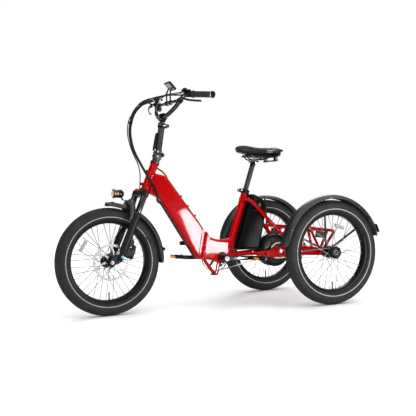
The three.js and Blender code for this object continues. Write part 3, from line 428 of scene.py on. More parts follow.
# ---------- objects ----------
def piece(name, parts, body, replaces=(), sharp=35, fuse=None, smooth=8, voxel=2.2):
    """One object from parts, each ((verts, faces), material). With fuse it is one skin, as a welded
    or moulded piece is: the parts are joined by a fine remesh and their seams smoothed."""
    verts, faces, slots, mats = [], [], [], []
    for (v, f), mat in parts:
        if mat not in mats:
            mats.append(mat)
        base = len(verts)
        verts.extend(v)
        faces.extend(tuple(base + k for k in face) for face in f)
        slots.extend([mats.index(mat)] * len(f))
    mesh = bpy.data.meshes.new(name)
    mesh.from_pydata(placed(verts), [], faces)
    for mat in mats:
        mesh.materials.append(mat)
    mesh.polygons.foreach_set("material_index", slots)
    work = bmesh.new()
    work.from_mesh(mesh)
    bmesh.ops.recalc_face_normals(work, faces=work.faces)
    work.to_mesh(mesh)
    work.free()
    obj = bpy.data.objects.new(name, mesh)
    show(obj)
    if fuse:
        remesh = obj.modifiers.new("skin", "REMESH")
        remesh.mode = "VOXEL"
        remesh.voxel_size = voxel * MM
        relax = obj.modifiers.new("relax", "SMOOTH")
        relax.factor = 0.5
        relax.iterations = smooth
        made = baked(obj)
        obj.modifiers.clear()
        obj.data = made
        made.materials.clear()
        made.materials.append(mats[0])
        bpy.data.meshes.remove(mesh)
        mesh = made
        mesh.name = name
    mesh.polygons.foreach_set("use_smooth", [True] * len(mesh.polygons))
    if not fuse:
        mesh.set_sharp_from_angle(angle=math.radians(sharp))
    mesh.update()
    if body:
        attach(obj, body)
    if replaces:
        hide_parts(*replaces)
    return obj


# ---------- shared dimensions ----------
WHEEL_R = 265.0
FRONT_Y, REAR_Y = -536.0, 536.0
TRACK = 695.0
HEAD_LOW = (0, -333.7, 605.2)
HEAD_LENGTH = 151.0
LEG_X, LEG_Y = 66.0, -14.0
CRANK_Y, CRANK_Z = 73.0, 245.0
MOTOR_Y, MOTOR_Z = 394.0, 265.0
SIDES = (("left", 1), ("right", -1))
SPOKES, SPOKE_R = 36, 1.45
GUARD_R = 288  # inner radius of the mudguards' crowns
TAIL_DEGREES = 21.5  # where the tail reflectors sit round the rear mudguards
in_fork = leaning(23.87, HEAD_LOW)
in_stem = leaning(10.4, (0, -252, 787))
in_seat = leaning(19.6, (0, 233, 581))
in_crank = leaning(2, (0, CRANK_Y, CRANK_Z))


def both(make):
    return [make(1), make(-1)]


def flip(point, side):
    return (point[0] * side, point[1], point[2])


def mix(a, b, t):
    return tuple(Vector(a) * (1 - t) + Vector(b) * t)


def paint(mat, *parts):
    return [(part, mat) for part in parts]


# ---------- wheels ----------
TREAD_BLOCKS = 64
TYRE_STEPS = TREAD_BLOCKS * 8
TYRE_HALF = [(0, 265), (4, 264.9), (8.3, 264.5), (8.9, 264.4), (10.4, 264.1), (11, 263.9), (15, 262.2),
    (20.2, 259.2), (20.8, 258.7), (22.2, 257.4), (22.8, 256.9), (25.5, 254), (28.4, 249.6), (29.6, 246.6),
    (30.4, 244), (32, 237.5), (33.2, 230), (33.5, 224), (32.9, 217), (31, 210.5), (27.5, 206.2), (24.6, 203.9),]


def tread_depth(x, turn):
    """How far the tread is cut down here. turn counts blocks round the tyre."""
    a = abs(x)
    if a < 8.5:
        return 2.2 if (turn + a * 0.045) % 1 < 0.2 or a < 0.5 and turn % 2 < 1.1 else 0.0
    if a < 10.6 or 20.5 < a < 22.5:
        return 2.4
    if a < 20.5:
        return 2.2 if (turn + 0.5 - a * 0.04) % 1 < 0.24 else 0.0
    if a < 29:
        return 2.4 if (turn + 0.2) % 1 < 0.3 else 0.0
    return 0.0


def tyre(x, y):
    outline = [(-a, r) for a, r in reversed(TYRE_HALF[1:])] + TYRE_HALF
    verts = []
    for j, angle in enumerate(turns(TYRE_STEPS)):
        for along, radius in outline:
            r = radius - tread_depth(along, j / 8)
            verts.append(Vector((x + along, y + r * math.cos(angle), WHEEL_R + r * math.sin(angle))))
    return verts, rings_to_faces(TYRE_STEPS, len(outline), closed=True)


def on_wheel(profile, x, y, sides=96):
    return ring(profile, (x, y, WHEEL_R), sides=sides)


def polar(x, y, radius, angle, z=WHEEL_R):
    return (x, y + radius * math.cos(angle), z + radius * math.sin(angle))


RIM_PROFILE = [(-21, 202.6), (-20.6, 200.6), (-21.2, 199.4), (-20.2, 195), (-17, 190.6), (-12.5, 188.7),
    (-6, 188.2), (6, 188.2), (12.5, 188.7), (17, 190.6), (20.2, 195), (21.2, 199.4), (20.6, 200.6), (21, 202.6),
    (18, 203), (-18, 203),]
FRONT_HUB = [(-42, 6), (-42, 11), (-41, 12), (-34, 13), (-31.5, 15), (-31, 29), (-30.4, 30), (-27.6, 30),
    (-27, 29), (-26.4, 18), (-22, 15.5), (22, 15.5), (26.4, 18), (27, 29), (27.6, 30), (30.4, 30), (31, 29),
    (31.5, 15), (34, 13), (41, 12), (42, 11), (42, 6),]
REAR_HUB = [(-34, 9.6), (-34, 21), (-30, 24), (-29, 30), (-28, 31), (-24, 31), (-23, 30), (-20, 22), (-8, 19.5),
    (8, 19.5), (20, 22), (23, 30), (24, 31), (29, 31), (30, 30), (31, 24.5), (33.5, 24.5), (34.5, 30.5),
    (36, 31.5), (40, 31.5), (41.5, 30), (43.5, 25.5), (45, 22), (45.8, 14), (46, 0.5), (38, 0.5), (38, 9.6),]


def spokes(x, y, flange, hole):
    """Thirty-six spokes laced in crossing pairs, each with its nipple at the rim."""
    wires, nipples = [], []
    for i, angle in enumerate(turns(SPOKES, 0.5)):
        side = 1 if i % 2 else -1
        lean = 1 if (i // 2) % 2 else -1
        root = angle + lean * math.radians(58)
        start = polar(x + side * (flange + lean * 1.4), y, hole, root)
        end = polar(x + side * 3, y, 188.8, angle)
        wires.append(bar(start, end, SPOKE_R, sides=7, ease=0.1))
        nipples.append(bar(mix(start, end, 0.925), end, 2.1, 2.6, sides=8, ease=0.3))
        wires.append(lathe([(-2.2, 1.5), (-1.4, 2.1), (1.4, 2.1), (2.2, 1.5)], start,
            (start[0] + 1, *start[1:]), 8))
    return wires, nipples


def wheel(name, body, x, y, hub_profile, flange, hole, side=1):
    valve_angle = math.radians(-90)
    valve = [bar(polar(x, y, 190, valve_angle), polar(x, y, 172, valve_angle), 4.2, 3.2, sides=12),
        bar(polar(x, y, 173, valve_angle), polar(x, y, 154, valve_angle), 3.4, sides=12),
        bar(polar(x, y, 159, valve_angle), polar(x, y, 150, valve_angle), 4.4, 3.4, sides=12),]
    stripe = [(-33.0, 218.2), (-33.65, 218.8), (-33.8, 221.2), (-33.3, 221.8), (-32.4, 221.4), (-32.2, 218.6)]
    stripes = [on_wheel([(s * a, r) for a, r in stripe[::s]], x, y, 128) for s in (1, -1)]
    beads = [on_wheel([(s * a, r) for a, r in ((-30.2, 207.6), (-31.1, 208.4), (-30.9, 209.6),
        (-29.8, 209.4))[::s]], x, y, 128) for s in (1, -1)]
    set_of = paint(RUBBER, tyre(x, y), *beads) + paint(STRIPE, *stripes)
    piece(f"{name}_tyre_tread", set_of, body, [f"{name}_tyre"], sharp=28)
    piece(f"{name}_rim_valve", paint(BLACK_SATIN, on_wheel(RIM_PROFILE, x, y, 128)) + paint(PLASTIC, *valve),
        body, [f"{name}_rim"])
    wires, nipples = spokes(x, y, flange, hole)
    hub = on_wheel([(side * a, r) for a, r in hub_profile[::side]], x, y, 48)
    parts = paint(BLACK_SATIN, hub) + paint(SPOKE, *wires) + paint(SILVER, *nipples)
    return parts


front_parts = wheel("front", "front_wheel", 0, FRONT_Y, FRONT_HUB, 29, 26)
piece("front_hub_spokes", front_parts, "front_wheel", ["front_hub"])
for label, side in SIDES:
    x = side * TRACK / 2
    parts = wheel(f"rear_{label}", f"rear_{label}_wheel", x, REAR_Y, REAR_HUB, 26, 27, side)
    cap = lathe([(0, 19.5), (0.8, 20.4), (3, 20.4), (4.4, 18.6), (5, 14.5), (4.2, 13.5), (4.2, 0.4)],
        (x + side * 41.5, REAR_Y, WHEEL_R), (x + side * 42.5, REAR_Y, WHEEL_R), 40)
    parts += paint(BLACK_GLOSS, cap)
    parts += paint(STEEL, *(screw(polar(x + side * 45.5, REAR_Y, 9.5, math.radians(60 * i)), (side, 0, 0), 1.9,
        1.0) for i in range(6)))
    piece(f"rear_{label}_hub_spokes", parts, f"rear_{label}_wheel", [f"rear_{label}_hub"])


def spoke_reflector(name, body, x, y, radius, degrees, side):
    """A pale moulded lens clipped between two spokes, with a black clip at each end."""
    angle = math.radians(degrees)
    turn = Matrix.Rotation(angle, 3, "X")
    at = polar(x + side * 11, y, radius, angle)
    lens = block((4.5, 15, 56), at, 1.8, turn)
    back = block((2.5, 17, 59), (at[0] - side * 2.6, at[1], at[2]), 1.2, turn)
    clips = [block((7, 8, 5), tuple(Vector(at) + turn @ Vector((-side * 3, 0, s * 26))), 1, turn)
        for s in (1, -1)]
    piece(name, paint(PALE_LENS, lens) + paint(PLASTIC, back, *clips), body, ())


spoke_reflector("front_spoke_reflector", "front_wheel", 0, FRONT_Y, 150, 146, 1)
spoke_reflector("rear_left_spoke_reflector", "rear_left_wheel", TRACK / 2, REAR_Y, 136, 70, 1)
spoke_reflector("rear_right_spoke_reflector", "rear_right_wheel", -TRACK / 2, REAR_Y, 136, 70, -1)


# ---------- front brake rotor ----------
def rotor():
    holes = [(0, 0, 77.4)]
    for turn in turns(24):
        for radius, shift, size in ((80.6, 0.0, 1.7), (86.4, 0.07, 1.7), (83.5, 0.135, 2.1)):
            a = turn + shift
            holes.append((radius * math.cos(a), radius * math.sin(a), size))
    band = plate(circle(90, 120), 2, 46, 0.25, holes, 1)
    arms = []
    for a in turns(6):
        path = [(46, r * math.cos(a + t), r * math.sin(a + t)) for r, t in ((22, 0), (34, 0.06), (48, 0.18),
            (62, 0.32), (78.4, 0.46))]
        widths = (6.5, 4.4, 3.4, 3.6, 6.0)

        def section(u):
            i = min(3, int(u * 4))
            w = widths[i] + (widths[i + 1] - widths[i]) * (u * 4 - i)
            return [(-0.75, -w), (0.75, -w), (0.75, w), (-0.75, w)]

        arms.append(sweep([Vector(p) for p in smooth_path(path, 4)], section,
            Vector((0, 1, 0)).cross(Vector((1, 0, 0)))))
    place = (0, FRONT_Y, WHEEL_R)
    boss = ring([(-1.2, 13.5), (-1.2, 26), (1.2, 26), (1.2, 13.5)], (46, 0, 0), sides=40)
    bolts = [screw((47, 20 * math.cos(a), 20 * math.sin(a)), (1, 0, 0), 2.6, 1.2)
        for a in (t + 0.2 for t in turns(6))]
    parts = paint(ROTOR, *(shifted(a, place) for a in (band, *arms))) + paint(BLACK_SATIN, shifted(boss, place))
    return parts + paint(STEEL, *(shifted(b, place) for b in bolts))


piece("front_rotor_disc", rotor(), "front_wheel", ["front_rotor"])


# ---------- fork ----------
def fork_crown():
    body = [block((2 * LEG_X, 38, 24), (0, -10, -24), 8, segments=4), bar((0, 0, -34), (0, 0, -3), 23.5,
        ease=3)]
    body += both(lambda s: lathe([(0, 16.2), (2, 18.2), (27, 18.5), (30, 16.5)], (s * LEG_X, LEG_Y, -36),
        (s * LEG_X, LEG_Y, -6), 36))
    stanchions = both(lambda s: bar((s * LEG_X, LEG_Y, -250), (s * LEG_X, LEG_Y, -20), 15.6, sides=40))
    seals = both(lambda s: ring([(0, 15), (0, 19.4), (3, 19.8), (8, 17), (9, 15)], (s * LEG_X, LEG_Y, -127.2),
        (s * LEG_X, LEG_Y, -126), 36))
    cap = lathe([(0, 15.5), (1.6, 15.5), (2.8, 13), (3.4, 8), (3.4, 0.4)], (LEG_X, LEG_Y, -6.8),
        (LEG_X, LEG_Y, -5), 32)
    steerer = bar((0, 0, -20), (0, 0, 168), 14.3)
    crown = each(in_fork, body)
    shiny = each(in_fork, stanchions)
    piece("fork_crown_body", paint(FORK_GREY, *crown), "steerer", fuse=True, voxel=1.6,
        smooth=6)
    race = in_fork(ring([(-5, 15), (-5, 21.5), (-1, 22.5), (-0.4, 20), (-0.4, 15)], (0, 0, 0), (0, 0, 1), 40))
    piece("fork_stanchions", paint(BLACK_GLOSS, *shiny) + paint(BLACK_SATIN, in_fork(steerer), in_fork(cap))
        + paint(BRASS, race), "steerer", ["fork_crown"])
    piece("fork_dust_seals", paint(GRIP, *each(in_fork, seals)), "fork_lowers")


fork_crown()


def lower_leg(side):
    x = side * LEG_X
    tube = lathe([(0, 15.6), (0.5, 19.2), (3, 20.2), (15, 20), (18, 18.6), (150, 18.4), (186, 17.6),
        (220, 15.2), (240, 12.5), (246, 9.5), (248, 4)], (x, LEG_Y, -128), (x, LEG_Y, -129), 40)
    tongue = softened([(-2, -340), (-30, -341), (-61, -376), (-62, -402), (-40, -409), (-8, -384), (2, -364)],
        8)
    hole_y, hole_z = -47.4, -393
    drop = plate(tongue, 10, x - side * 6, 2.2, [(hole_y, hole_z, 5.6)])
    return [tube, drop]


def fork_lowers():
    arch = [(-LEG_X, -24, -166), (-LEG_X + 3, -45, -112), (-36, -51.5, -77), (36, -51.5, -77),
        (LEG_X - 3, -45, -112), (LEG_X, -24, -166)]
    mount = softened([(-8, -250), (24, -256), (29, -330), (4, -347), (-8, -345)], 6)
    metal = [*lower_leg(1), *lower_leg(-1), plate(mount, 10, LEG_X - 4, 2, [(18, -296, 8)])]
    piece("fork_lower_legs", paint(FORK_GREY, *each(in_fork, metal)), "fork_lowers", ["fork_lowers"],
        fuse=True, voxel=1.5, smooth=5)
    band = strap(arch, 12, 28, 24)
    rib = strap([(x, y - 6.5, z + 1) for x, y, z in arch[1:-1]], 5, 9, 18)
    feet = both(lambda s: block((9, 30, 44), (s * (LEG_X - 2), -30, -150), 4))
    silver_arch = each(in_fork, (band, rib, *feet))
    piece("fork_arch", paint(ARCH_GREY, *silver_arch), "fork_lowers")
    dot = in_fork(lathe([(0, 6.6), (1, 7.2), (2.4, 6.8), (3, 5), (3, 0.4)], (LEG_X + 15.2, LEG_Y + 2, -350),
        (LEG_X + 16.2, LEG_Y + 2, -350), 24))
    screws = [in_fork(screw((s * LEG_X, LEG_Y, -375.5), (0, 0, -1), 5, 2.5)) for s in (1, -1)]
    piece("fork_leg_fittings", paint(BLUE, dot) + paint(STEEL, *screws), "fork_lowers")


fork_lowers()

axle_parts = paint(STEEL, bar((-80, FRONT_Y, WHEEL_R), (80, FRONT_Y, WHEEL_R), 5, sides=24))
for s in (1, -1):
    axle_parts += paint(SILVER, hex_nut((s * 68.4, FRONT_Y, WHEEL_R), (s, 0, 0), 9.4, 5.6))
    axle_parts += paint(STEEL, ring([(0, 5.2), (0, 9.4), (1.8, 9.4), (1.8, 5.2)], (s * 66, FRONT_Y, WHEEL_R),
        (s * 67, FRONT_Y, WHEEL_R), 32))
piece("front_axle_nuts", axle_parts, "fork_lowers", ["front_axle"])

knob = lathe([(0, 11.2), (0.6, 12), (4.2, 12), (4.8, 10.6), (10.4, 10), (11.6, 9), (12.2, 6), (12.2, 0.4)],
    (-LEG_X, LEG_Y, -5.6), (-LEG_X, LEG_Y, 0), 40)
knob_fins = [block((2.2, 5, 6), (-LEG_X + 10 * math.cos(a), LEG_Y + 10 * math.sin(a), 1.8), 0.8,
    Matrix.Rotation(a + math.pi / 2, 3, "Z")) for a in turns(8)]
piece("preload_knob_cap", paint(RED_KNOB, *each(in_fork, (knob, *knob_fins))), "preload_knob", ["preload_knob"])


def caliper():
    shell = [block((9.2, 38, 52), (36.6, 30, -318), 4), block((9.2, 38, 52), (51.8, 30, -318), 4),
        block((24.4, 12, 46), (44.2, 44, -318), 4), block((13.6, 21, 23), (39, 40, -286), 3)]
    bore = [lathe([(0, 13.5), (1.6, 12.5), (1.6, 9), (0.8, 8.4), (0.8, 0.4)], (56.2, 28, -318), sides=32)]
    bolts = [screw((44.2, 50, -318 + d), (0, 1, 0), 3.4, 2.4) for d in (-16, 16)]
    fins = [block((9.4, 3, 40), (52.7, 12.6 + 5 * k, -318), 1) for k in range(1, 3)]
    pads = [block((1.6, 26, 24), (x, 22, -318), 0.5) for x in (43.9, 48.1)]
    black = each(in_fork, shell + fins)
    piece("front_caliper_body", paint(BLACK_SATIN, *black) + paint(STEEL, *each(in_fork, bolts + pads))
        + paint(PLASTIC, in_fork(bore[0])), "fork_lowers", ["front_caliper"])


caliper()


# ---------- mudguards ----------
def guard_blade(x, y, radius, half, start, end, steps):
    """A thin arched blade with rolled edges, bent round the wheel."""
    crown = [(half * math.copysign(abs(u) ** 0.82, u), 4 - 18 * abs(u) ** 2.6)
        for u in (-1 + k / 8 for k in range(17))]
    under = [(a * 0.955, b - 2.0) for a, b in reversed(crown)]
    rolled_left = [(half * 0.995, -15.4), (half * 0.965, -16)]
    rolled_right = [(-half * 0.965, -16), (-half * 0.995, -15.4)]
    section = crown + rolled_left + under + rolled_right
    verts = []
    for i in range(steps + 1):
        u = i / steps
        angle = math.radians(start + (end - start) * u)
        tuck = min(1.0, 0.55 + 0.45 * math.sqrt(min(u, 1 - u) * 18))
        for a, b in section:
            r = radius + b
            verts.append(Vector((x + a * tuck, y + r * math.cos(angle), WHEEL_R + r * math.sin(angle))))
    return verts, capped(steps + 1, len(section))


front_blade = guard_blade(0, FRONT_Y, GUARD_R, 38, -5, 90, 60)
wire_half = [(62, -413, 406), (45, -262, 322), (38, -246, 307)]
wire = pipe(wire_half + [flip(p, -1) for p in reversed(wire_half)], 2.4, 10, 12)
guard_lugs = [block((3, 12, 16), (s * 36.5, -252, 312), 1.2, Matrix.Rotation(math.radians(-30), 3, "X"))
    for s in (1, -1)]
guard_rivets = [screw(polar(s * 37.6, FRONT_Y, 282, math.radians(9 + 3.4)), (s, 0, 0), 2.6, 1.4)
    for s in (1, -1)]
bridge_pad = block((30, 14, 3), (0, -505, 556.2), 1.2)
piece("front_mudguard_blade", paint(GUARD, front_blade) + paint(BLACK_SATIN, wire, *guard_lugs)
    + paint(STEEL, *guard_rivets, screw((0, -500, 557), (0, 0, 1), 3.4, 2)) + paint(PLASTIC, bridge_pad),
    "fork_lowers", ["front_mudguard"], sharp=50)

for label, side in SIDES:
    blade = guard_blade(TRACK / 2, REAR_Y, GUARD_R, 37, 14, 171, 96)
    hub_ring = ring([(0, 10), (0, 23.6), (0.6, 24), (2.8, 24), (3.4, 23.6), (3.4, 10)],
        (295.2, REAR_Y, WHEEL_R), sides=40)
    stays, screws_at = [], []
    for degrees in (92, 152, 31):
        a = math.radians(degrees)
        start, end = polar(299, REAR_Y, 18, a), polar(TRACK / 2 - 36, REAR_Y, 280, a)
        path = [Vector(start), Vector(mix(start, end, 0.94)), Vector(end)]
        side_way = Vector((0, -math.sin(a), math.cos(a)))
        stays.append(sweep(path, [(-5, -1.5), (5, -1.5), (5.6, 0), (5, 1.5), (-5, 1.5), (-5.6, 0)],
            (path[1] - path[0]).normalized().cross(side_way)))
        screws_at.append(screw(polar(TRACK / 2 - 36, REAR_Y, 272, a), (-1, 0, 0), 3.4, 2.4))
        screws_at.append(screw(polar(TRACK / 2 + 34.6, REAR_Y, 277, a + 0.02), (1, 0, 0), 3.0, 1.8))
    parts = paint(GUARD, blade) + paint(BLACK_SATIN, hub_ring, *stays) + paint(STEEL, *screws_at)
    parts = [(mirrored(p, side), m) for p, m in parts]
    piece(f"mudguard_{label}_blade", parts, "rear_frame", [f"mudguard_{label}"], sharp=50)
    tilt = Matrix.Rotation(math.radians(TAIL_DEGREES - 90), 3, "X")

    def on_guard(size, lift, ease):
        return block(size, polar(side * TRACK / 2, REAR_Y, 300.5 + lift, math.radians(TAIL_DEGREES)), ease,
            tilt)

    piece(f"tail_reflector_{label}_lens", paint(PLASTIC, on_guard((43.6, 45.6, 4.6), -1.6, 1.6))
        + paint(RED_LENS, on_guard((38, 40, 5), 1.5, 2.2)), "rear_frame", [f"tail_reflector_{label}"])

# ---------- headlight ----------
lamp_axis = (Vector((0, -505, 598.4)) - Vector((0, -445, 594))).normalized()
lamp_back = Vector((0, -444, 594))
lamp_shell = lathe([(0, 8), (0.8, 12), (3, 16), (6, 18), (24, 19.4), (38, 20.2), (42, 20.8), (45, 22.4),
    (48, 22.8), (54, 22.8), (55.4, 22), (55.4, 18.6), (52, 18)], lamp_back, lamp_back + lamp_axis, 48)
lamp_fins = [ring([(d, 16), (d, 20.6), (d + 2, 20.6), (d + 2, 16)], lamp_back, lamp_back + lamp_axis, 40)
    for d in (10, 15, 20, 25)]
lamp_foot = strap([(0, -452, 590), (0, -452, 566), (0, -428, 560)], 18, 4, 5)
lamp_bolt = [screw((s * 9, -452, 578), (s, 0, 0), 4, 2.4) for s in (1, -1)]
amber_marks = []
for s in (1, -1):
    for d in (33.5, 47.5):
        reach = 19.6 if d < 40 else 22.4
        spot = lamp_back + lamp_axis * d + Vector((s * reach, 0, 0))
        amber_marks.append(block((3.0, 7.5, 12), tuple(spot), 1.4))
bezel = ring([(53.6, 18.2), (54.2, 21), (56, 20.8), (56.6, 20), (55, 17.6)], lamp_back, lamp_back + lamp_axis,
    48)
piece("headlight_body", paint(BLACK_GLOSS, lamp_shell) + paint(PLASTIC, *lamp_fins, lamp_foot)
    + paint(STEEL, *lamp_bolt) + paint(ARCH_GREY, bezel), "fork_lowers", ["headlight"])
piece("headlight_side_markers", paint(AMBER, *amber_marks), "fork_lowers")
lens_front = lathe([(-1.5, 17.2), (0, 18.2), (1.2, 18), (2.6, 15.4), (4, 11), (5, 5.5), (5.4, 0.3)],
    (0, -499.8, 598.0), (0, -501, 598.1), 48)
piece("headlight_lens_dome", paint(LENS, lens_front), "fork_lowers", ["headlight_lens"])


# ---------- folding stem ----------
def collar(z0, z1, y, radius, lip=1.2):
    """A turned ring on the stem's or seat tube's axis, with rolled ends."""
    length = z1 - z0
    return lathe([(0, radius - lip), (lip * 0.4, radius - lip * 0.3), (lip, radius), (length - lip, radius),
        (length - lip * 0.4, radius - lip * 0.3), (length, radius - lip)], (0, y, z0), (0, y, z1), 44)


def release_lever(side, bolt_y, z, ring_r):
    """The cam lever of a quick-release clamp: an eye on the bolt and a flat blade round the collar."""
    eye_x, toward = side * 23, -math.copysign(1, bolt_y)
    blade_x = side * (ring_r + 5)
    path = smooth_path([(eye_x, bolt_y, z), (blade_x, bolt_y + toward * 14, z),
        (blade_x + side, bolt_y + toward * 34, z), (blade_x - side * 5, bolt_y + toward * 49, z)], 8)

    def section(u):
        w, t = 5.2 + 2.2 * math.sin(math.pi * min(1, u * 0.9)), 2.6 - 0.8 * u
        return oval(t, w)

    eye = lathe([(0, 5.4), (1.2, 7), (14.8, 7), (16, 5.4)], (eye_x, bolt_y, z - 8), (eye_x, bolt_y, z), 28)
    return [eye, sweep(path, section, Vector((0, 0, 1)))]


stub_neck = [in_fork(lathe([(0, 21.5), (1.4, 23), (6, 23), (8, 21), (9.5, 19.2), (32, 19), (33.5, 17.5)],
    (0, 0, HEAD_LENGTH + 0.6), (0, 0, HEAD_LENGTH + 34), 40))]
stub_jaw = [plate(softened([(-24, 1.4), (14.5, 1.4), (14.5, -10), (12, -30), (-18, -30), (-27, -12)], 7), 36, 0,
    4), plate(softened([(4, 1.2), (15, 1.2), (22, 4), (26, -7), (10, -20)], 3), 16, 0, 1.4),
    bar((-8, 24, -2), (8, 24, -2), 8)]
stub_bolts = [in_stem(screw((s * 17.8, -8, -12), (s, 0, 0), 5.2, 3.4)) for s in (1, -1)]
neck_lines = [in_fork(ring([(d, 22.6), (d + 0.4, 23.6), (d + 1.8, 23.6), (d + 2.2, 22.6)],
    (0, 0, HEAD_LENGTH + 2), (0, 0, HEAD_LENGTH + 3), 44)) for d in (0, 3)]
piece("stem_stub_body", paint(STEM_GREY, *stub_neck, *each(in_stem, stub_jaw)) + paint(BRASS, neck_lines[0])
    + paint(BLACK_SATIN, neck_lines[1]) + paint(SILVER, *stub_bolts), "steerer", ["stem_stub"])

knuckle = softened([(4, 10), (4, 2.4), (15.5, 2.4), (18, -7), (24, -10), (31, -6), (32, 1), (28, 6), (18, 10)],
    3)
column = [plate(softened([(-24, 2.3), (15, 2.3), (15, 8), (6, 22), (-12, 22), (-24, 10)], 4), 40, 0, 4),
    *[plate(knuckle, 13, s * 15.2, 1.6) for s in (1, -1)], lathe([(0, 19), (4, 18.5), (12, 16.6), (108, 16.4),
    (134, 16.4)], (0, -3, 18), (0, -3, 152), 44)]
column_top = [collar(134, 160, -3, 20, 1.6), block((24, 14, 19), (0, 19, 148), 2.4)]
slit = block((2.0, 16, 20), (0, 20, 148), 0.3)
column_bolts = [screw((s * 19.8, -11, 12), (s, 0, 0), 5.4, 3.6) for s in (1, -1)]
column_bolts += [bar((-26, 24, -2), (26, 24, -2), 4), screw((26, 24, -2), (1, 0, 0), 5.6, 3),
    screw((-26, 24, -2), (-1, 0, 0), 5.6, 3)]
column_bolts += [bar((-15, 21, 148), (15.6, 21, 148), 3.4), screw((-13, 21, 148), (-1, 0, 0), 5.5, 4)]
piece("stem_column_body", paint(STEM_GREY, *each(in_stem, column)) + paint(BLACK_SATIN,
    *each(in_stem, (*column_top, slit))) + paint(SILVER, *each(in_stem, column_bolts)), "stem_column",
    ["stem_column"])

latch_side = softened([(-21, 16), (-26, 14), (-31, 22), (-30, 60), (-27, 104), (-23.4, 107), (-22.5, 60),
    (-21, 30)], 4)
latch = [plate(latch_side, 22, 0, 2), bar((-11, -25.5, 20), (11, -25.5, 20), 5.5)]
latch_rib = [plate(softened([(-30.4, 34), (-32, 36), (-31.4, 60), (-29, 92), (-28, 92), (-29, 60)], 1), 8, 0,
    0.5)]
latch_pin = [screw((s * 11, -25.5, 20), (s, 0, 0), 3.6, 1.8) for s in (1, -1)]
piece("stem_latch_lever", paint(BLACK_SATIN, *each(in_stem, latch + latch_rib))
    + paint(SILVER, *each(in_stem, latch_pin)), "stem_latch", ["stem_latch"])
piece("stem_release_lever", paint(BLACK_GLOSS, *each(in_stem, release_lever(1, 21, 148, 20))), "stem_release",
    ["stem_release"])

BAR_Y, BAR_Z = -6, 189
post = bar((0, -3, 62), (0, -3, 180), 12.7, sides=40)
marks = [ring([(0, 12.6), (0, 12.85), (0.7, 12.85), (0.7, 12.6)], (0, -3, 166 - 5 * k), (0, -3, 167 - 5 * k),
    40) for k in range(3)]
clamp_ring = ring([(-22, 11.7), (-23, 12.6), (-23, 18.6), (-21.6, 20), (21.6, 20), (23, 18.6), (23, 12.6),
    (22, 11.7)], (0, BAR_Y, BAR_Z), sides=44)
face = block((46, 14, 15), (0, BAR_Y - 18, BAR_Z), 3.5)
gap_line = block((47, 3.2, 1.6), (0, BAR_Y - 19.5, BAR_Z + 8), 0.4)
face_bolts = [screw((s * 14, BAR_Y - 25, BAR_Z), (0, -1, 0), 3.8, 2.8) for s in (1, -1)]
post_neck = lathe([(0, 13.4), (5, 16), (11, 17.5)], (0, -3, 165), (0, -3, 176), 36)
piece("stem_post_body", paint(BLACK_SATIN, *each(in_stem, (post, clamp_ring, face, post_neck, gap_line)))
    + paint(SILVER, *each(in_stem, face_bolts)) + paint(STEEL, *each(in_stem, marks)), "handlebar",
    ["stem_post"])

# ---------- handlebar, grips and controls ----------
GRIP_IN, GRIP_OUT = (231, -155, 1065), (344, -104, 1051)
BAR_TIP, CONTROL_ROOT = (350, -101.3, 1050.3), (190, -173.5, 1070)
bar_left = [(52, -224, 974), (126, -205, 1010), (164, -179, 1058), CONTROL_ROOT, BAR_TIP]
bar_path = [flip(p, -1) for p in reversed(bar_left)] + bar_left
brace = (150, -186, 1046)
brace_clamps = []
for s in (1, -1):
    a, b = Vector(flip((139, -195, 1027), s)), Vector(flip((163, -181, 1056), s))
    way = (b - a).normalized()
    mid = Vector(flip((152, -187.5, 1043), s))
    brace_clamps.append(ring([(-8, 11), (-8, 13.6), (-7, 14.6), (7, 14.6), (8, 13.6), (8, 11)], mid, mid + way,
        32))
brace_shoes = [lathe([(0, 8.2), (0.6, 10.4), (12, 10.4), (14, 8.6)], flip((126, -186, 1046), s),
    flip((140, -186, 1046), s), 32) for s in (1, -1)]
brace_bolts = [screw((s * 134, -196, 1046), (0, -1, 0), 3.0, 2.2) for s in (1, -1)]
piece("handlebar_tube", paint(BLACK_GLOSS, pipe(bar_path, 11.2, 30, 32, 10),
    bar(brace, flip(brace, -1), 8, sides=28)) + paint(BLACK_SATIN, *brace_clamps, *brace_shoes)
    + paint(SILVER, *brace_bolts), "handlebar", ["handlebar"])

for label, side in SIDES:
    inner, outer = Vector(flip(GRIP_IN, side)), Vector(flip(GRIP_OUT, side))
    length = (outer - inner).length
    rows = [(0, 11.6), (0, 17.2), (1, 18), (5.5, 18), (6.6, 17.2), (7.5, 15.2)]
    d = 9.0
    while d < length - 12:
        swell = 0.5 * math.sin(math.pi * d / length)
        rows += [(d, 14.2 + swell), (d + 0.4, 14.6 + swell), (d + 2.4, 14.6 + swell), (d + 2.8, 14.2 + swell)]
        d += 3.4
    rows += [(length - 9, 15), (length - 8, 16.4), (length - 6, 17), (length - 1, 17), (length, 16),
        (length, 11.6)]
    rubber = ring(rows, inner, outer, 48)
    way = (outer - inner).normalized()
    end_cap = lathe([(0, 15), (0.6, 16), (3.2, 16), (4, 14.8), (4.2, 8), (3.6, 7), (3.6, 0.4)], outer
        + way * 1.6, outer + way * 2.6, 40)
    lock = ring([(0, 16.2), (0.4, 17.4), (4.4, 17.4), (4.8, 16.2)], outer - way * 4, outer, 40)
    lock_in = ring([(0, 15.4), (0.4, 18.2), (3.6, 18.2), (4, 15.4)], inner - way * 0.4, outer, 40)
    piece(f"grip_{label}_rubber", paint(GRIP, rubber) + paint(STEEL, lock)
        + paint(BLACK_SATIN, end_cap, lock_in), "handlebar", [f"grip_{label}"])

PIVOT = (207, -200, 1052)


def on_bar(t):
    return mix(CONTROL_ROOT, GRIP_IN, t)


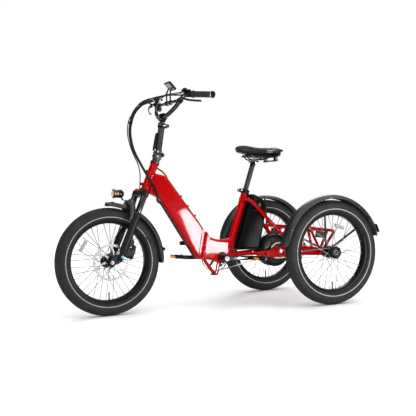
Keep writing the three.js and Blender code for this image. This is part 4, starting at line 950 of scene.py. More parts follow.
def control_base():
    start, end = on_bar(0.34), on_bar(0.9)
    clamp = ring([(0, 11.6), (0, 14.6), (1, 15.5), (23, 15.5), (24, 14.6), (24, 11.6)], start, end, 40)
    return [clamp, block((19, 38, 7), (PIVOT[0] + 6, -184, PIVOT[2] + 9.5), 2.6),
        block((20, 22, 19), (PIVOT[0] + 8, -173, 1061), 4), bar((PIVOT[0], PIVOT[1], 1044),
        (PIVOT[0], PIVOT[1], 1062), 2.6)]


def lever_pin():
    return [screw((PIVOT[0], PIVOT[1], 1064.6), (0, 0, 1), 4.2, 2.2), screw((PIVOT[0] + 8, -161.6, 1061),
        (0, 1, 0), 3, 2)]


left_pod = [block((46, 15, 11), (204, -168, 1084), 4), plate(softened([(-186, 1080), (-186, 1095), (-183, 1098),
    (-167, 1098), (-167, 1078), (-184, 1078)], 3), 26, 184, 2.4)]
pod_verts, pod_faces = plate(softened([(171.6, 1079), (196.4, 1079), (196.4, 1096), (171.6, 1096)], 4), 3,
    -187.2, 0.8, [(184, 1087, 5.4)])
left_pod.append(([Vector((v.y, v.x, v.z)) for v in pod_verts], pod_faces))
pocket_ring = ring([(0, 5.4), (0, 7.2), (1.2, 7.2), (1.2, 5.4)], (184, -188.4, 1087), (184, -189.4, 1087), 32)
switches = [block((8, 5, 4.6), (177 + 10 * k, -177, 1099), 1.2) for k in range(2)]
piece("control_left_body", paint(PLASTIC, *control_base(), *left_pod, pocket_ring)
    + paint(STEEL, *lever_pin()) + paint(GRIP, *switches), "handlebar", ["control_left"],
    sharp=45)
piece("horn_button_cap", paint(BUTTON_RED, lathe([(0, 4.9), (3.0, 4.9), (3.8, 4.2), (4.2, 2.6), (4.3, 0.3)],
    (184, -188.9, 1087), (184, -190, 1087), 28)), "horn_button", ["horn_button"])
right_pod = [block((46, 15, 11), (204, -168, 1084), 4), plate(softened([(-188, 1082), (-188, 1096),
    (-182, 1101), (-166, 1101), (-164, 1080), (-184, 1079)], 6), 34, 186, 4)]
cap_disc = lathe([(0, 9), (1, 9), (1.6, 8), (1.6, 0.4)], (203, -176, 1090.5), sides=32)
piece("control_right_body", [(mirrored(p), m) for p, m in paint(PLASTIC, *control_base(), *right_pod)
    + paint(BLACK_GLOSS, cap_disc) + paint(STEEL, *lever_pin())], "handlebar", ["control_right"],
    sharp=45)

thumb = smooth_path([(-165.8, -178, 1090), (-165.8, -163, 1086), (-168, -152.5, 1083), (-176, -150.6, 1081.5),
    (-188, -151, 1081)], 6)


def thumb_section(u):
    w, t = 2.4 + 4.2 * u ** 1.5, 2.4
    return oval(w, t)


piece("throttle_paddle", paint(PLASTIC, lathe([(0, 7.2), (0.8, 8), (4.8, 8), (5.5, 7.2)], (-168.4, -178, 1090),
    sides=32), sweep(thumb, thumb_section, Vector((0, 1, 0)))), "throttle_lever", ["throttle_lever"])

blade_path = smooth_path([PIVOT, (224, -205, 1046.5), (240, -203, 1041), (262, -196, 1034), (296, -179, 1027),
    (322, -164, 1023), (330, -159, 1022)], 7)


def blade_section(u):
    w = 5.6 - 1.0 * u if u < 0.93 else 5.2
    t = 4.4 - 1.4 * math.sin(math.pi * min(1.0, u * 1.1))
    return oval(t, w, 20, 0.8)


for label, side in SIDES:
    shapes = [sweep(blade_path, blade_section, Vector((0, 0, 1))), lathe([(0, 7.2), (0.8, 8), (7.6, 8),
        (8.4, 7.2)], (207, -200, 1047), (207, -200, 1055.4), 32), lathe([(0, 2.6), (2, 5), (6, 5.4), (9, 4.2),
        (10.4, 1.6)], (324, -162.6, 1022.6), (334, -157.4, 1021.6), 24)]
    tab = block((15, 5.4, 4.2), (222, -203.5, 1051.6), 1.4, Matrix.Rotation(math.radians(-12), 3, "Z"))
    tab_top = block((11, 8, 2.2), (223.4, -202.6, 1054), 0.9, Matrix.Rotation(math.radians(-12), 3, "Z"))
    parts = paint(BLACK_SATIN, *shapes) + paint(BLUE, tab, tab_top)
    piece(f"brake_lever_{label}_blade", [(mirrored(p, side), m) for p, m in parts], f"brake_lever_{label}",
        [f"brake_lever_{label}"], sharp=50)

# ---------- display ----------
tilt = Matrix.Rotation(math.radians(-47), 3, "X")
case_at = Vector((0, -176, 1131))


def on_case(part):
    verts, faces = part
    return [tilt @ v + case_at for v in verts], faces


case = [block((70, 54, 11), (0, 0, 0), 4)]
back_plate = block((60, 44, 3), (0, 0, -5), 1.4)
bezel_parts = [block((66, 4, 2.4), (0, y, 5.6), 1) for y in (-23, 23)] + [block((4, 50, 2.4), (x, 0, 5.6), 1)
    for x in (-31, 31)]
screen = block((60, 36, 1.6), (0, 5, 5.2), 0.5)
keys = [lathe([(0, 4.4), (1.4, 4.4), (2, 3.4), (2, 0.3)], (12 * k, -18.4, 4.6), (12 * k, -18.4, 6), 20)
    for k in (-1, 0, 1)]
arm = [(24, -186, 1056), (24, -188, 1090), (20, -176, 1122)]
arms = [strap([flip(p, s) for p in arm], 8, 6.4, 16) for s in (1, -1)]
clips = [ring([(-6, 8.5), (-6, 11.4), (-5, 12.4), (5, 12.4), (6, 11.4), (6, 8.5)], (s * 24, -186, 1046),
    sides=32) for s in (1, -1)]
clip_bolts = [screw((s * 24, -198, 1046), (0, -1, 0), 2.6, 2) for s in (1, -1)]
# The back plate carries the light grey of the painted floor reflection.
piece("display_case", paint(PLASTIC, *each(on_case, case + bezel_parts), *arms, *clips)
    + paint(SCREEN, on_case(screen)) + paint(DISPLAY_BACK_PAINTED_REFLECTION, on_case(back_plate))
    + paint(GRIP, *each(on_case, keys)) + paint(STEEL, *clip_bolts), "handlebar", ["display"])

# ---------- front frame ----------
HINGE_LOW, HINGE_TOP = Vector((0, -41, 249)), Vector((0, -12.5, 385))
HINGE_X, LATCH_X = 39, -39


def on_hinge(x, t, behind=0.0):
    p = HINGE_LOW.lerp(HINGE_TOP, t)
    return Vector((x, p.y + 0.979 * behind, p.z - 0.205 * behind))


def joined(behind):
    return [(p.y, p.z) for p in (on_hinge(0, 1, behind), on_hinge(0, 0, behind))]


def barrel(x, start, end, behind):
    half = (x + math.copysign(27, x)) / 2
    lug = block((14, 8, 139 * (end - start) - 1), tuple(on_hinge(half, (start + end) / 2, behind)), 1.2,
        Matrix.Rotation(math.radians(-11.8), 3, "X"))
    return [bar(on_hinge(x, start), on_hinge(x, end), 7.5, sides=28, ease=0.8), lug]


beam_side = softened([(-290, 696), (-228, 680), (-204, 656), (-48, 440), *joined(-0.4), (-66, 252), (-258, 566),
    (-320, 598), (-300, 640)], 9)
beam_skin = [plate(beam_side, 54, 0, 13, resolution=5), in_fork(bar((0, 0, 0.6), (0, 0, HEAD_LENGTH - 0.6), 20,
    sides=48)), *[in_fork(collar_at) for collar_at in (lathe([(0, 21.6), (0.8, 23), (8.2, 23), (9, 21.6)],
    (0, 0, 0.3), (0, 0, 9), 44), lathe([(0, 21.6), (0.8, 23), (8.2, 23), (9, 21.6)], (0, 0, HEAD_LENGTH - 9.3),
    (0, 0, HEAD_LENGTH), 44))], pipe([(0, -276, 724), (0, -242, 708), (0, -214, 680), (0, -202, 648)], 4.7, 20,
    24, 10),]
piece("front_frame_beam", paint(RED, *beam_skin), "front_frame", ["front_frame"], fuse=True,
    voxel=1.7, smooth=7)
hinge_front = softened([(-34, 400), *joined(-0.4), (-62, 252)], 3)
front_metal = [plate(hinge_front, 60, 0, 2), *barrel(HINGE_X, 0.035, 0.245, -4.6),
    *barrel(HINGE_X, 0.515, 0.725, -4.6), *barrel(LATCH_X, 0.505, 0.715, -4.6)]
hinge_pin = [bar(on_hinge(HINGE_X, 0.015), on_hinge(HINGE_X, 0.985), 3.6),
    screw(on_hinge(HINGE_X, 0.985), (0, 0.2, 1), 5, 2)]
bosses = []
for t in (0.36, 0.54, 0.72):
    foot = Vector((0, -218 + 207 * t, 668 - 283 * t))
    tip = Vector((0, -206 + 207 * t, 677 - 283 * t))
    bosses.append(lathe([(0, 5.6), (12, 5.2), (14.4, 4.8), (15, 4)], foot, tip, 28))
boss_screws = [screw((0, -206.6 + 207 * t, 676.6 - 283 * t), (0, 12, 9), 3.4, 2.2) for t in (0.36, 0.54, 0.72)]
pegs = []
for s in (1, -1):
    for d in (28, 96):
        pegs.append(in_fork(lathe([(0, 5.8), (20, 5.6), (20.8, 5)], (s * 11, -8, d), (s * 12, -29, d), 28)))
peg_tips = [in_fork(lathe([(0, 5.9), (0.6, 6.4), (5.2, 6.4), (6, 5.6), (6, 3), (5, 2.6), (5, 0.3)],
    (s * 11.9, -25.4, d), (s * 12.2, -29, d), 28)) for s in (1, -1) for d in (28, 96)]
head_rings = [in_fork(ring([(0, 15.4), (0, 22.4), (0.4, 23.1), (6.4, 23.1), (6.8, 22.4), (6.8, 15.4)],
    (0, 0, d), (0, 0, d + 1), 44)) for d in (0.0, HEAD_LENGTH - 6.6)]
piece("front_frame_fittings", paint(RED, *front_metal, *bosses, *pegs)
    + paint(STEEL, *hinge_pin, *boss_screws) + paint(BLACK_SATIN, *head_rings, *peg_tips), "front_frame")

latch_arm = [bar(on_hinge(LATCH_X - 4, t), on_hinge(LATCH_X - 10, t + (0.6 - t) * 0.3, -14), 4, sides=20)
    for t in (0.45, 0.775)]
grip_path = smooth_path([tuple(on_hinge(LATCH_X - 10, 0.6, -14)), (LATCH_X - 12, -56, 331),
    (LATCH_X - 12.4, -84, 330), (LATCH_X - 11, -112, 329), (LATCH_X - 10, -128, 329)], 7)


def latch_section(u):
    w, t = 11.6 - 1.8 * abs(u - 0.55), 7.6
    return oval(t, w, 24, 0.75)


latch_parts = [bar(on_hinge(LATCH_X, 0.405), on_hinge(LATCH_X, 0.488), 7.5),
    bar(on_hinge(LATCH_X, 0.732), on_hinge(LATCH_X, 0.818), 7.5), *latch_arm,
    bar(on_hinge(LATCH_X - 10, 0.47, -14), on_hinge(LATCH_X - 10, 0.755, -14), 4.4, sides=20)]
latch_pins = [bar(on_hinge(LATCH_X, 0.4), on_hinge(LATCH_X, 0.82), 2.8),
    screw(on_hinge(LATCH_X, 0.815), (0, 0.2, 1), 4.4, 2)]
latch_grip_rings = []
for k in range(7):
    p = grip_path[8 + 2 * k]
    way = (grip_path[9 + 2 * k] - grip_path[7 + 2 * k]).normalized()
    latch_grip_rings.append(sweep([p - way * 1.2, p + way * 1.2], [(a * 1.05, b * 1.05) for a,
        b in latch_section(0.5)], Vector((0, 0, 1))))
piece("frame_latch_handle", paint(PLASTIC, sweep(grip_path, latch_section, Vector((0, 0, 1))),
    *latch_grip_rings) + paint(BLACK_SATIN, *latch_parts) + paint(STEEL, *latch_pins), "frame_latch",
    ["frame_latch"], sharp=45)

# ---------- rear frame ----------
PLATE_X = 72
rear_side = softened([*reversed(joined(0.4)), (8, 358), (50, 343), (98, 338), (136, 345), (158, 332),
    (134, 262), (100, 232), (CRANK_Y, 218), (30, 232)], 9)
seat_stay = [(16, 214, 547), (50, 240, 539), (PLATE_X - 5, 472, 292)]
chain_stay = [(18, 92, 256), (35, 140, 259), (PLATE_X - 3, 272, 260)]
plate_side = softened([(258, 246), (262, 268), (300, 270), (340, 273), (370, 284), (410, 286), (450, 280),
    (468, 302), (490, 300), (492, 242), (440, 233), (390, 229), (330, 236)], 7)
foot_loop = [(14, -24, 250), (14, 38, 163), (14, 50, 158), (14, 68, 226)]
rear_skin = [plate(rear_side, 56, 0, 13, resolution=5), lathe([(0, 25), (1, 27), (69, 27), (70, 25)],
    (-35, CRANK_Y, CRANK_Z), sides=48), in_seat(lathe([(0, 18.5), (265, 18.5), (272, 18.1)], (0, 0, -265),
    (0, 0, 8), 44)), *both(lambda s: pipe([flip(p, s) for p in seat_stay], 9.5, 28, 28, 10)),
    *both(lambda s: pipe([flip(p, s) for p in chain_stay], 9, 22, 28, 8)),
    *both(lambda s: pipe([flip(p, s) for p in foot_loop], 4.6, 10, 18, 8)),
    bar((-15, 44, 161), (15, 44, 161), 4.6, sides=18),]
piece("rear_frame_skin", paint(RED, *rear_skin), "rear_frame", ["rear_frame"], fuse=True,
    voxel=1.7, smooth=6)
hinge_rear = softened([*reversed(joined(0.4)), (6, 360), (-18, 247)], 3)
rear_plates = [plate(plate_side, 8, s * PLATE_X, 1.4, [(308, 254, 6), (MOTOR_Y, MOTOR_Z, 7)]) for s in (1, -1)]
rear_metal = [plate(hinge_rear, 60, 0, 2), *barrel(HINGE_X, 0.265, 0.495, 4.6),
    *barrel(HINGE_X, 0.745, 0.965, 4.6)]
foot_pad = [block((38, 22, 7), (0, 34, 160), 2.2), *[block((34, 2, 2), (0, 27 + 4.6 * k, 157), 0.6)
    for k in range(4)]]
shell_rings = [ring([(0, 18.6), (0, 25.6), (1.6, 27.4), (4.6, 27.4), (5.2, 26), (5.2, 18.6)],
    (s * 31, CRANK_Y, CRANK_Z), (s * 32, CRANK_Y, CRANK_Z), 48) for s in (1, -1)]
notches = [block((3.4, 4.4, 5), (s * 36.4, CRANK_Y + 22.5 * math.cos(a), CRANK_Z + 22.5 * math.sin(a)), 1,
    Matrix.Rotation(a, 3, "X")) for s in (1, -1) for a in turns(8)]
seat_lines = []
for d in (-40, -66, -92):
    seat_lines.append(in_seat(lathe([(0, 4.6), (2.2, 4.2), (3, 3), (3, 0.3)], (0, -18, d), (0, -19, d), 24)))
plate_bolts = [screw((s * 76, y, z), (s, 0, 0), 4.4, 2.8) for s in (1, -1) for y,
    z in ((476, 288), (476, 252), (452, 262))]
adjusters = [hex_nut((s * 76, 420, MOTOR_Z), (s, 0, 0), 5.4, 3) for s in (1, -1)]
piece("rear_frame_fittings", paint(RED, *rear_metal, *rear_plates) + paint(BLACK_SATIN, *foot_pad, *shell_rings,
    *notches) + paint(STEEL, *plate_bolts, *seat_lines, *adjusters), "rear_frame")

# ---------- seat post, clamp and battery ----------
clamp_shape = [collar(-8, 14, 0, 23, 2), block((24, 12, 18), (0, -27, 3), 2.6)]
clamp_bolt = [bar((-15.6, -28, 3), (17, -28, 3), 3.4), screw((13, -28, 3), (1, 0, 0), 5.4, 4)]
clamp_ring = ring([(14, 13.8), (14, 21), (15, 20), (15.6, 13.8)], (0, 0, 0), (0, 0, 1), 44)
piece("seat_clamp_collar", paint(BLACK_SATIN, *each(in_seat, clamp_shape), in_seat(clamp_ring))
    + paint(SILVER, *each(in_seat, clamp_bolt)), "rear_frame", ["seat_clamp"])
piece("seat_release_lever", paint(SILVER, *each(in_seat, release_lever(-1, -28, 3, 23))), "seat_release",
    ["seat_release"])

flutes = [(r * math.cos(a), r * math.sin(a)) for r, a in zip((13.0, 13.5, 13.5) * 24, turns(72))]
fluted = sweep([Vector((0, 0, -120)), Vector((0, 0, 20)), Vector((0, 0, 150))], flutes)
post_head = [lathe([(0, 13.6), (8, 14), (20, 14.6), (22, 13)], (0, 0, 142), (0, 0, 163), 44)]
cradle = [block((42, 44, 8), (0, 292, 741.5), 3.4), bar((-23, 292, 735), (23, 292, 735), 9, sides=32, ease=1.6)]
clip_nuts = [hex_nut((s * 22.6, 292, 735), (s, 0, 0), 7, 4) for s in (1, -1)]
piece("seat_post_tube", paint(STEM_GREY, in_seat(fluted)) + paint(BLACK_SATIN, *each(in_seat, post_head),
    *cradle) + paint(STEEL, *clip_nuts), "seat", ["seat_post"], sharp=24)

battery_side = softened([(163, 284), (176, 279), (286, 279), (298, 288), (346, 497), (331, 540), (270, 572),
    (258, 566)], 16)
case_body = plate(battery_side, 75, 0, 14, resolution=6)
ribs = []
for s in (1, -1):
    for k in range(5):
        a, b = (206 + 16 * k, 296), (262 + 14.5 * k, 530 - 4 * k)
        ribs.append(pipe([(s * 36.6, a[0], a[1] + 4), (s * 37.1, *mix((a[0], a[1], 0), (b[0], b[1], 0),
            0.5)[:2]), (s * 36.6, *b)], 1.1, 5, 10, 3))
seam = plate(softened([(162.4, 283.6), (176, 278.6), (286.4, 278.6), (298.6, 287.6), (346.6, 497),
    (331.4, 540.6), (270, 572.5), (257.6, 566.4)], 16), 4.0, 0, 0.8)
lock_at = (37.2, 300, 512)
key_lock = [lathe([(0, 11), (1, 11), (1.8, 9.6), (1.4, 8.4), (1.4, 0.4)], lock_at, (38.2, 300, 512), 40)]
key_barrel = [lathe([(0, 6.2), (1.8, 6.2), (2.3, 5.2), (2.3, 0.3)], (38, 300, 512), sides=32)]
# A black block on the lock barrel stands for the dark inside of the key slot: painted shade.
key_slot_painted_shade = [block((1.2, 1.4, 6), (40.2, 300, 512), 0.3)]
gauge = [lathe([(0, 2.2), (0.8, 2), (1.1, 0.3)], (37.4, 262 + 7 * k, 486 - 2.2 * k), sides=16)
    for k in range(4)]
battery_rail = block((26, 7, 252), (0, 203, 428), 2, Matrix.Rotation(math.radians(-19.6), 3, "X"))
piece("battery_case", paint(BATTERY_BLACK, case_body) + paint(PLASTIC, *ribs, battery_rail)
    + paint(BLACK_GLOSS, seam, *key_lock) + paint(STEEL, *key_barrel, *gauge) + paint(BLACK_SATIN, *key_slot_painted_shade),
    "rear_frame", ["battery"], sharp=50)

# ---------- saddle ----------
SADDLE = [(187, 8, 818, 806), (189, 14, 824, 800), (196, 20, 828, 795), (210, 24, 831, 790),
    (232, 27.5, 831, 785), (258, 33.5, 826, 779), (290, 51, 818, 774), (314, 73, 814, 771), (338, 93, 813, 770),
    (360, 104, 813, 769.5), (382, 107.5, 815, 770), (400, 104, 817, 774), (412, 95, 816, 779),
    (420, 84, 813, 785), (424, 68, 808, 791),]


SWELL_MIN, SWELL_MAX, SWELL_EVENING, SWELL_FRAMES = -0.001, 0.004, 14, 20
UNDERSIDE, FADE = 0.778, 0.016  # metres: no swelling below, growing to all of it over this height


def saddle_shell(shrink):
    verts, sides = [], 48
    for y, half, top, low in SADDLE:
        middle, tall = (top + low) / 2, (top - low) / 2
        back = max(0.0, (y - 290) / 134)
        for t in turns(sides):
            c, s = math.cos(t), math.sin(t)
            x = (half - shrink) * math.copysign(abs(c) ** 0.72, c)
            z = (tall - shrink) * math.copysign(abs(s) ** 0.66, s)
            u = x / half
            if s > 0:
                z -= 5.0 * back * u * u + 2.6 * back * math.exp(-(u / 0.22) ** 2)
                z -= 3.0 * math.exp(-(x / 9) ** 2) * min(1, max(0, (y - 205) / 60))
            else:
                z += 1.5 * (1 - u * u)
            verts.append(Vector((x, y, middle + z)))
    return verts, capped(len(SADDLE), sides)


def saddle_cushion():
    cushion = piece("saddle_cushion", paint(LEATHER, saddle_shell(2.0)), "seat", ["saddle"],
        sharp=180)
    remesh = cushion.modifiers.new("skin", "REMESH")
    remesh.mode = "VOXEL"
    remesh.voxel_size = 0.0045
    soft = baked(cushion)
    cushion.modifiers.clear()
    cushion.data = soft
    rest = [v.co.copy() for v in soft.vertices]
    cloth = cushion.modifiers.new("swell", "CLOTH")
    for key, value in dict(quality=6, mass=0.3, use_pressure=True, uniform_pressure_force=4.0,
        tension_stiffness=30, compression_stiffness=30, shear_stiffness=12, bending_stiffness=6).items():
        setattr(cloth.settings, key, value)
    cloth.settings.effector_weights.gravity = 0
    cloth.collision_settings.use_collision = False
    cloth.point_cache.frame_start, cloth.point_cache.frame_end = 1, SWELL_FRAMES
    scene = bpy.context.scene
    for step in range(1, SWELL_FRAMES + 1):
        scene.frame_set(step)
    swollen = baked(cushion)
    cushion.modifiers.clear()
    scene.frame_set(1)
    rise = [max(SWELL_MIN, min(SWELL_MAX, (new.co - old).dot(soft.vertices[k].normal))) for k,
        (old, new) in enumerate(zip(rest, swollen.vertices))]
    near = [[] for _ in rest]
    for edge in swollen.edges:
        a, b = edge.vertices
        near[a].append(b)
        near[b].append(a)
    for _ in range(SWELL_EVENING):
        rise = [(r + sum(rise[n] for n in near[k])) / (1 + len(near[k])) for k, r in enumerate(rise)]
    for k, (old, new) in enumerate(zip(rest, swollen.vertices)):
        low = min(1.0, max(0.0, (old.z - UNDERSIDE) / FADE))
        new.co = old + soft.vertices[k].normal * rise[k] * low
    cushion.data = swollen
    bpy.data.meshes.remove(soft)
    relax = cushion.modifiers.new("relax", "SMOOTH")
    relax.iterations = 10
    cushion.modifiers.new("smooth", "SUBSURF").levels = 1
    cushion.modifiers["smooth"].render_levels = 1
    cushion.data.polygons.foreach_set("use_smooth", [True] * len(cushion.data.polygons))
    if not cushion.data.materials:
        cushion.data.materials.append(LEATHER)


saddle_cushion()


def saddle_edge(scale, height):
    """Points round the saddle's side, at a share of its width and of its height."""
    right = [(half * scale, y, low + (top - low) * height) for y, half, top, low in SADDLE]
    return right + [flip(p, -1) for p in reversed(right)]


piping = sweep(smooth_path(saddle_edge(1.0, 0.34) + [saddle_edge(1.0, 0.34)[0]], 5), circle(1.3, 10))
bumper = [sweep(smooth_path([(s * 106, 394, 792), (s * 102, 408, 794), (s * 90, 418.5, 796),
    (s * 70, 424.6, 798)], 6), oval(1.6, 5.5), Vector((0, 0, 1))) for s in (1, -1)]
flashes = []
for s in (1, -1):
    flashes.append(sweep(smooth_path([(s * 84.5, 326, 795), (s * 96.5, 344, 795), (s * 104.6, 362, 795.5)], 5),
        [(0.8, -2), (0.8, 2), (-0.8, 2), (-0.8, -2)], Vector((0, 0, 1))))
    flashes.append(sweep(smooth_path([(s * 82, 324, 786), (s * 93.5, 341, 786), (s * 100, 354, 786)], 5),
        [(0.7, -1.2), (0.7, 1.2), (-0.7, 1.2), (-0.7, -1.2)], Vector((0, 0, 1))))
piece("saddle_trim", paint(PLASTIC, piping, *bumper) + paint(SILVER, *flashes), "seat")

rail = [(10, 236, 776), (22, 262, 751), (22, 330, 751), (44, 372, 764)]
rails = both(lambda s: pipe([flip(p, s) for p in rail], 3.5, 16, 16, 8))
pan_rim = [(half * 0.9, y, low + (3.0 if y > 250 else 6.0)) for y, half, top, low in SADDLE[2:-1]]
pan_top = pan_rim + [flip(p, -1) for p in reversed(pan_rim)]
pan_low = [(x * 0.9, y, z - (6.0 if y < 280 else 12.0)) for x, y, z in pan_top]
pan = [([Vector(p) for p in pan_top + pan_low], capped(2, len(pan_top))), block((30, 46, 11), (0, 250, 771), 3),
    block((70, 84, 4), (0, 364, 763.6), 1.6)]
springs = []
for s in (1, -1):
    low, high = Vector((s * 58, 396, 743)), Vector((s * 54, 392.4, 766))
    up = (high - low).normalized()
    a, b = axes_along(up)
    coil = []
    for k in range(12 * 4 + 1):
        t = k / 12
        coil.append(low.lerp(high, t / 4) + (a * math.cos(2 * math.pi * t)
            + b * math.sin(2 * math.pi * t)) * 10.4)
    springs.append(sweep(coil, circle(2.1, 10)))
    springs.append(lathe([(0, 12.4), (1.4, 13), (3, 12.4)], low - up * 2, low, 28))
    springs.append(lathe([(0, 12.4), (1.4, 13), (3, 12.4)], high - up * 1, high + up, 28))
cross = bar((-56, 396, 744), (56, 396, 744), 4, sides=18)
shoe = block((46, 40, 7), (0, 292, 752), 2.4)
piece("saddle_underside", paint(PLASTIC, *pan) + paint(BLACK_SATIN, *rails, cross, shoe, *springs), "seat",
    ["saddle_base"])

# ---------- motor ----------
shell = [(-56, 7), (-56, 17), (-55, 18), (-53, 18), (-53, 28.5), (-52, 30), (-49, 30), (-48, 28.5), (-48, 18),
    (-41, 20), (-40, 40), (-39.4, 44), (-38.2, 70), (-36, 79), (-32, 84), (-29, 86)]
for k in range(9):
    x = -25 + 6 * k
    shell += [(x - 1.4, 86), (x - 1.0, 83.6), (x + 1.0, 83.6), (x + 1.4, 86)]
shell += [(28, 86), (31, 83.6), (34, 76), (35.4, 60), (35.8, 46), (36.6, 42), (37, 22), (40, 18), (40, 7)]
motor_at = (0, MOTOR_Y, MOTOR_Z)
motor_bolts = [screw(polar(35.2, MOTOR_Y, 62, a, MOTOR_Z), (1, 0, 0), 3.4, 2) for a in turns(12)]
motor_bolts += [screw(polar(-38.2, MOTOR_Y, 66, a, MOTOR_Z), (-1, 0, 0), 3.2, 2) for a in turns(9)]
fins = [block((1.6, 3, 26), polar(35.2, MOTOR_Y, 34, a, MOTOR_Z), 0.6,
    Matrix.Rotation(a - math.pi / 2, 3, "X")) for a in turns(12, 0.5)]


def sprocket(x, y, z, radius, teeth, width, inner):
    outline = []
    for k, a in enumerate(turns(teeth * 6)):
        r = radius + (1.6, 0.6, -1.4, -2.4, -1.4, 0.6)[k % 6]
        outline.append((y + r * math.cos(a), z + r * math.sin(a)))
    return plate(outline, width, x, 0.3, [(y, z, inner)], 1)


piece("motor_shell_body", paint(BLACK_SATIN, ring(shell, motor_at, (1, MOTOR_Y, MOTOR_Z), 96), *fins)
    + paint(BLACK_GLOSS, *motor_bolts), "motor", ["motor_shell"])
cogs = [sprocket(41.5, MOTOR_Y, MOTOR_Z, 36, 24, 2, 8), sprocket(50, MOTOR_Y, MOTOR_Z, 33.5, 22, 3.4, 8)]
cog_body = ring([(42.6, 7.2), (42.6, 29), (44, 30), (47.4, 30), (48, 29), (52, 28.6), (53, 25), (56, 24),
    (57, 23), (57, 7.2)], motor_at, (1, MOTOR_Y, MOTOR_Z), 56)
cog_splines = [block((1.2, 4, 9), polar(57, MOTOR_Y, 15, a, MOTOR_Z), 0.4,
    Matrix.Rotation(a - math.pi / 2, 3, "X")) for a in turns(8)]
piece("motor_cassette_cogs", paint(COG_DARK, *cogs, cog_body) + paint(BRASS, *cog_splines), "motor",
    ["motor_cassette"])
axle_bits = [bar((-91, MOTOR_Y, MOTOR_Z), (91, MOTOR_Y, MOTOR_Z), 5.8, sides=28)]
for s in (1, -1):
    axle_bits.append(hex_nut((s * 79.5, MOTOR_Y, MOTOR_Z), (s, 0, 0), 10.6, 7.4))
    axle_bits.append(ring([(0, 6.4), (0, 11.4), (2.6, 11.4), (2.6, 6.4)], (s * 76.6, MOTOR_Y, MOTOR_Z),
        (s * 77.6, MOTOR_Y, MOTOR_Z), 36))
piece("motor_axle_nuts", paint(SILVER, *axle_bits), "rear_frame", ["motor_axle"])

# ---------- cranks, pedals and chains ----------
CHAIN_X, CHAIN_PITCH = -50.5, 12.7


def crank_arm(side):
    reach, x = side * 170, side * 82
    outline = softened([(-side * 14, -11), (0, -16), (side * 22, -13), (reach - side * 12, -10.5),
        (reach + side * 8, -8), (reach + side * 11, 0), (reach + side * 8, 8), (reach - side * 12, 10.5),
        (side * 22, 13), (0, 16), (-side * 14, 11)], 8)
    arm = plate(outline, 12.6, x, 4, resolution=4)
    boss = lathe([(0, 15.5), (1, 17), (13, 17), (14, 15.5)], (x - 7, 0, 0), (x + 7, 0, 0), 40)
    groove = plate(softened([(side * 40, -3.4), (reach - side * 34, -2.4), (reach - side * 34, 2.4),
        (side * 40, 3.4)], 2), 1.0, x + side * 6.4, 0.3)
    label = plate(softened([(side * 62, -4.4), (side * 118, -4), (side * 118, 4), (side * 62, 4.4)], 1.6), 0.8,
        x + side * 6.7, 0.25)
    bolt = lathe([(0, 13), (1.4, 13), (2.4, 11.6), (2.2, 8), (0.8, 6.4), (0.6, 0.4)], (x + side * 6.6, 0, 0),
        (x + side * 7.6, 0, 0), 40)
    spindle = bar((x, reach, 0), (side * 188, reach, 0), 4.8, sides=24)
    nut = hex_nut((x + side * 6.4, reach, 0), (side, 0, 0), 7.6, 5)
    return [arm, boss], groove, [label, spindle, nut], bolt


def cranks():
    right, right_groove, right_bright, right_bolt = crank_arm(-1)
    left, left_groove, left_bright, left_bolt = crank_arm(1)
    arms_out, arm_turns = [], turns(5, 1.25)  # the first arm points up
    for a in arm_turns:
        path = [(CHAIN_X, r * math.cos(a), r * math.sin(a)) for r in (14, 30, 46, 61)]
        widths = (9, 6.4, 5.4, 7)
        arms_out.append(sweep([Vector(p) for p in path], lambda u, w=widths: [(-2.4, -w[min(3, round(u * 3))]),
            (2.4, -w[min(3, round(u * 3))]), (2.4, w[min(3, round(u * 3))]), (-2.4, w[min(3, round(u * 3))])],
            Vector((0, -math.sin(a), math.cos(a))).cross(Vector((1, 0, 0)))))
    bolts = [screw((CHAIN_X - 2.4, 59 * math.cos(a), 59 * math.sin(a)), (-1, 0, 0), 3.8, 2) for a in arm_turns]
    teeth = sprocket(CHAIN_X, 0, 0, 70.4, 46, 3.4, 56)
    guard = ring([(-9, 60), (-9.4, 62), (-9.4, 77.6), (-8.8, 79), (-6.8, 79), (-6.2, 77.6), (-6.2, 64),
        (-1.2, 60)], (CHAIN_X, 0, 0), sides=96)
    spindle = bar((-76, 0, 0), (66, 0, 0), 8.4, sides=32)
    boss = lathe([(0, 18.6), (1.2, 20), (17, 20), (18.4, 18.6)], (CHAIN_X - 6, 0, 0), (-38, 0, 0), 40)
    sleeve = lathe([(0, 14.6), (1.4, 16), (39, 16), (41, 15)], (37, 0, 0), sides=36)
    dark = [*right, *left, *arms_out, boss, sleeve, guard]
    piece("crankset", paint(BLACK_SATIN, *each(in_crank, dark)) + paint(BLACK_GLOSS,
        *each(in_crank, (right_groove, left_groove))) + paint(SILVER, *each(in_crank, right_bright
        + left_bright)) + paint(STEEL, *each(in_crank, (teeth, spindle, *bolts, right_bolt, left_bolt))),
        "cranks", ["crank_right", "crank_left"], sharp=40)


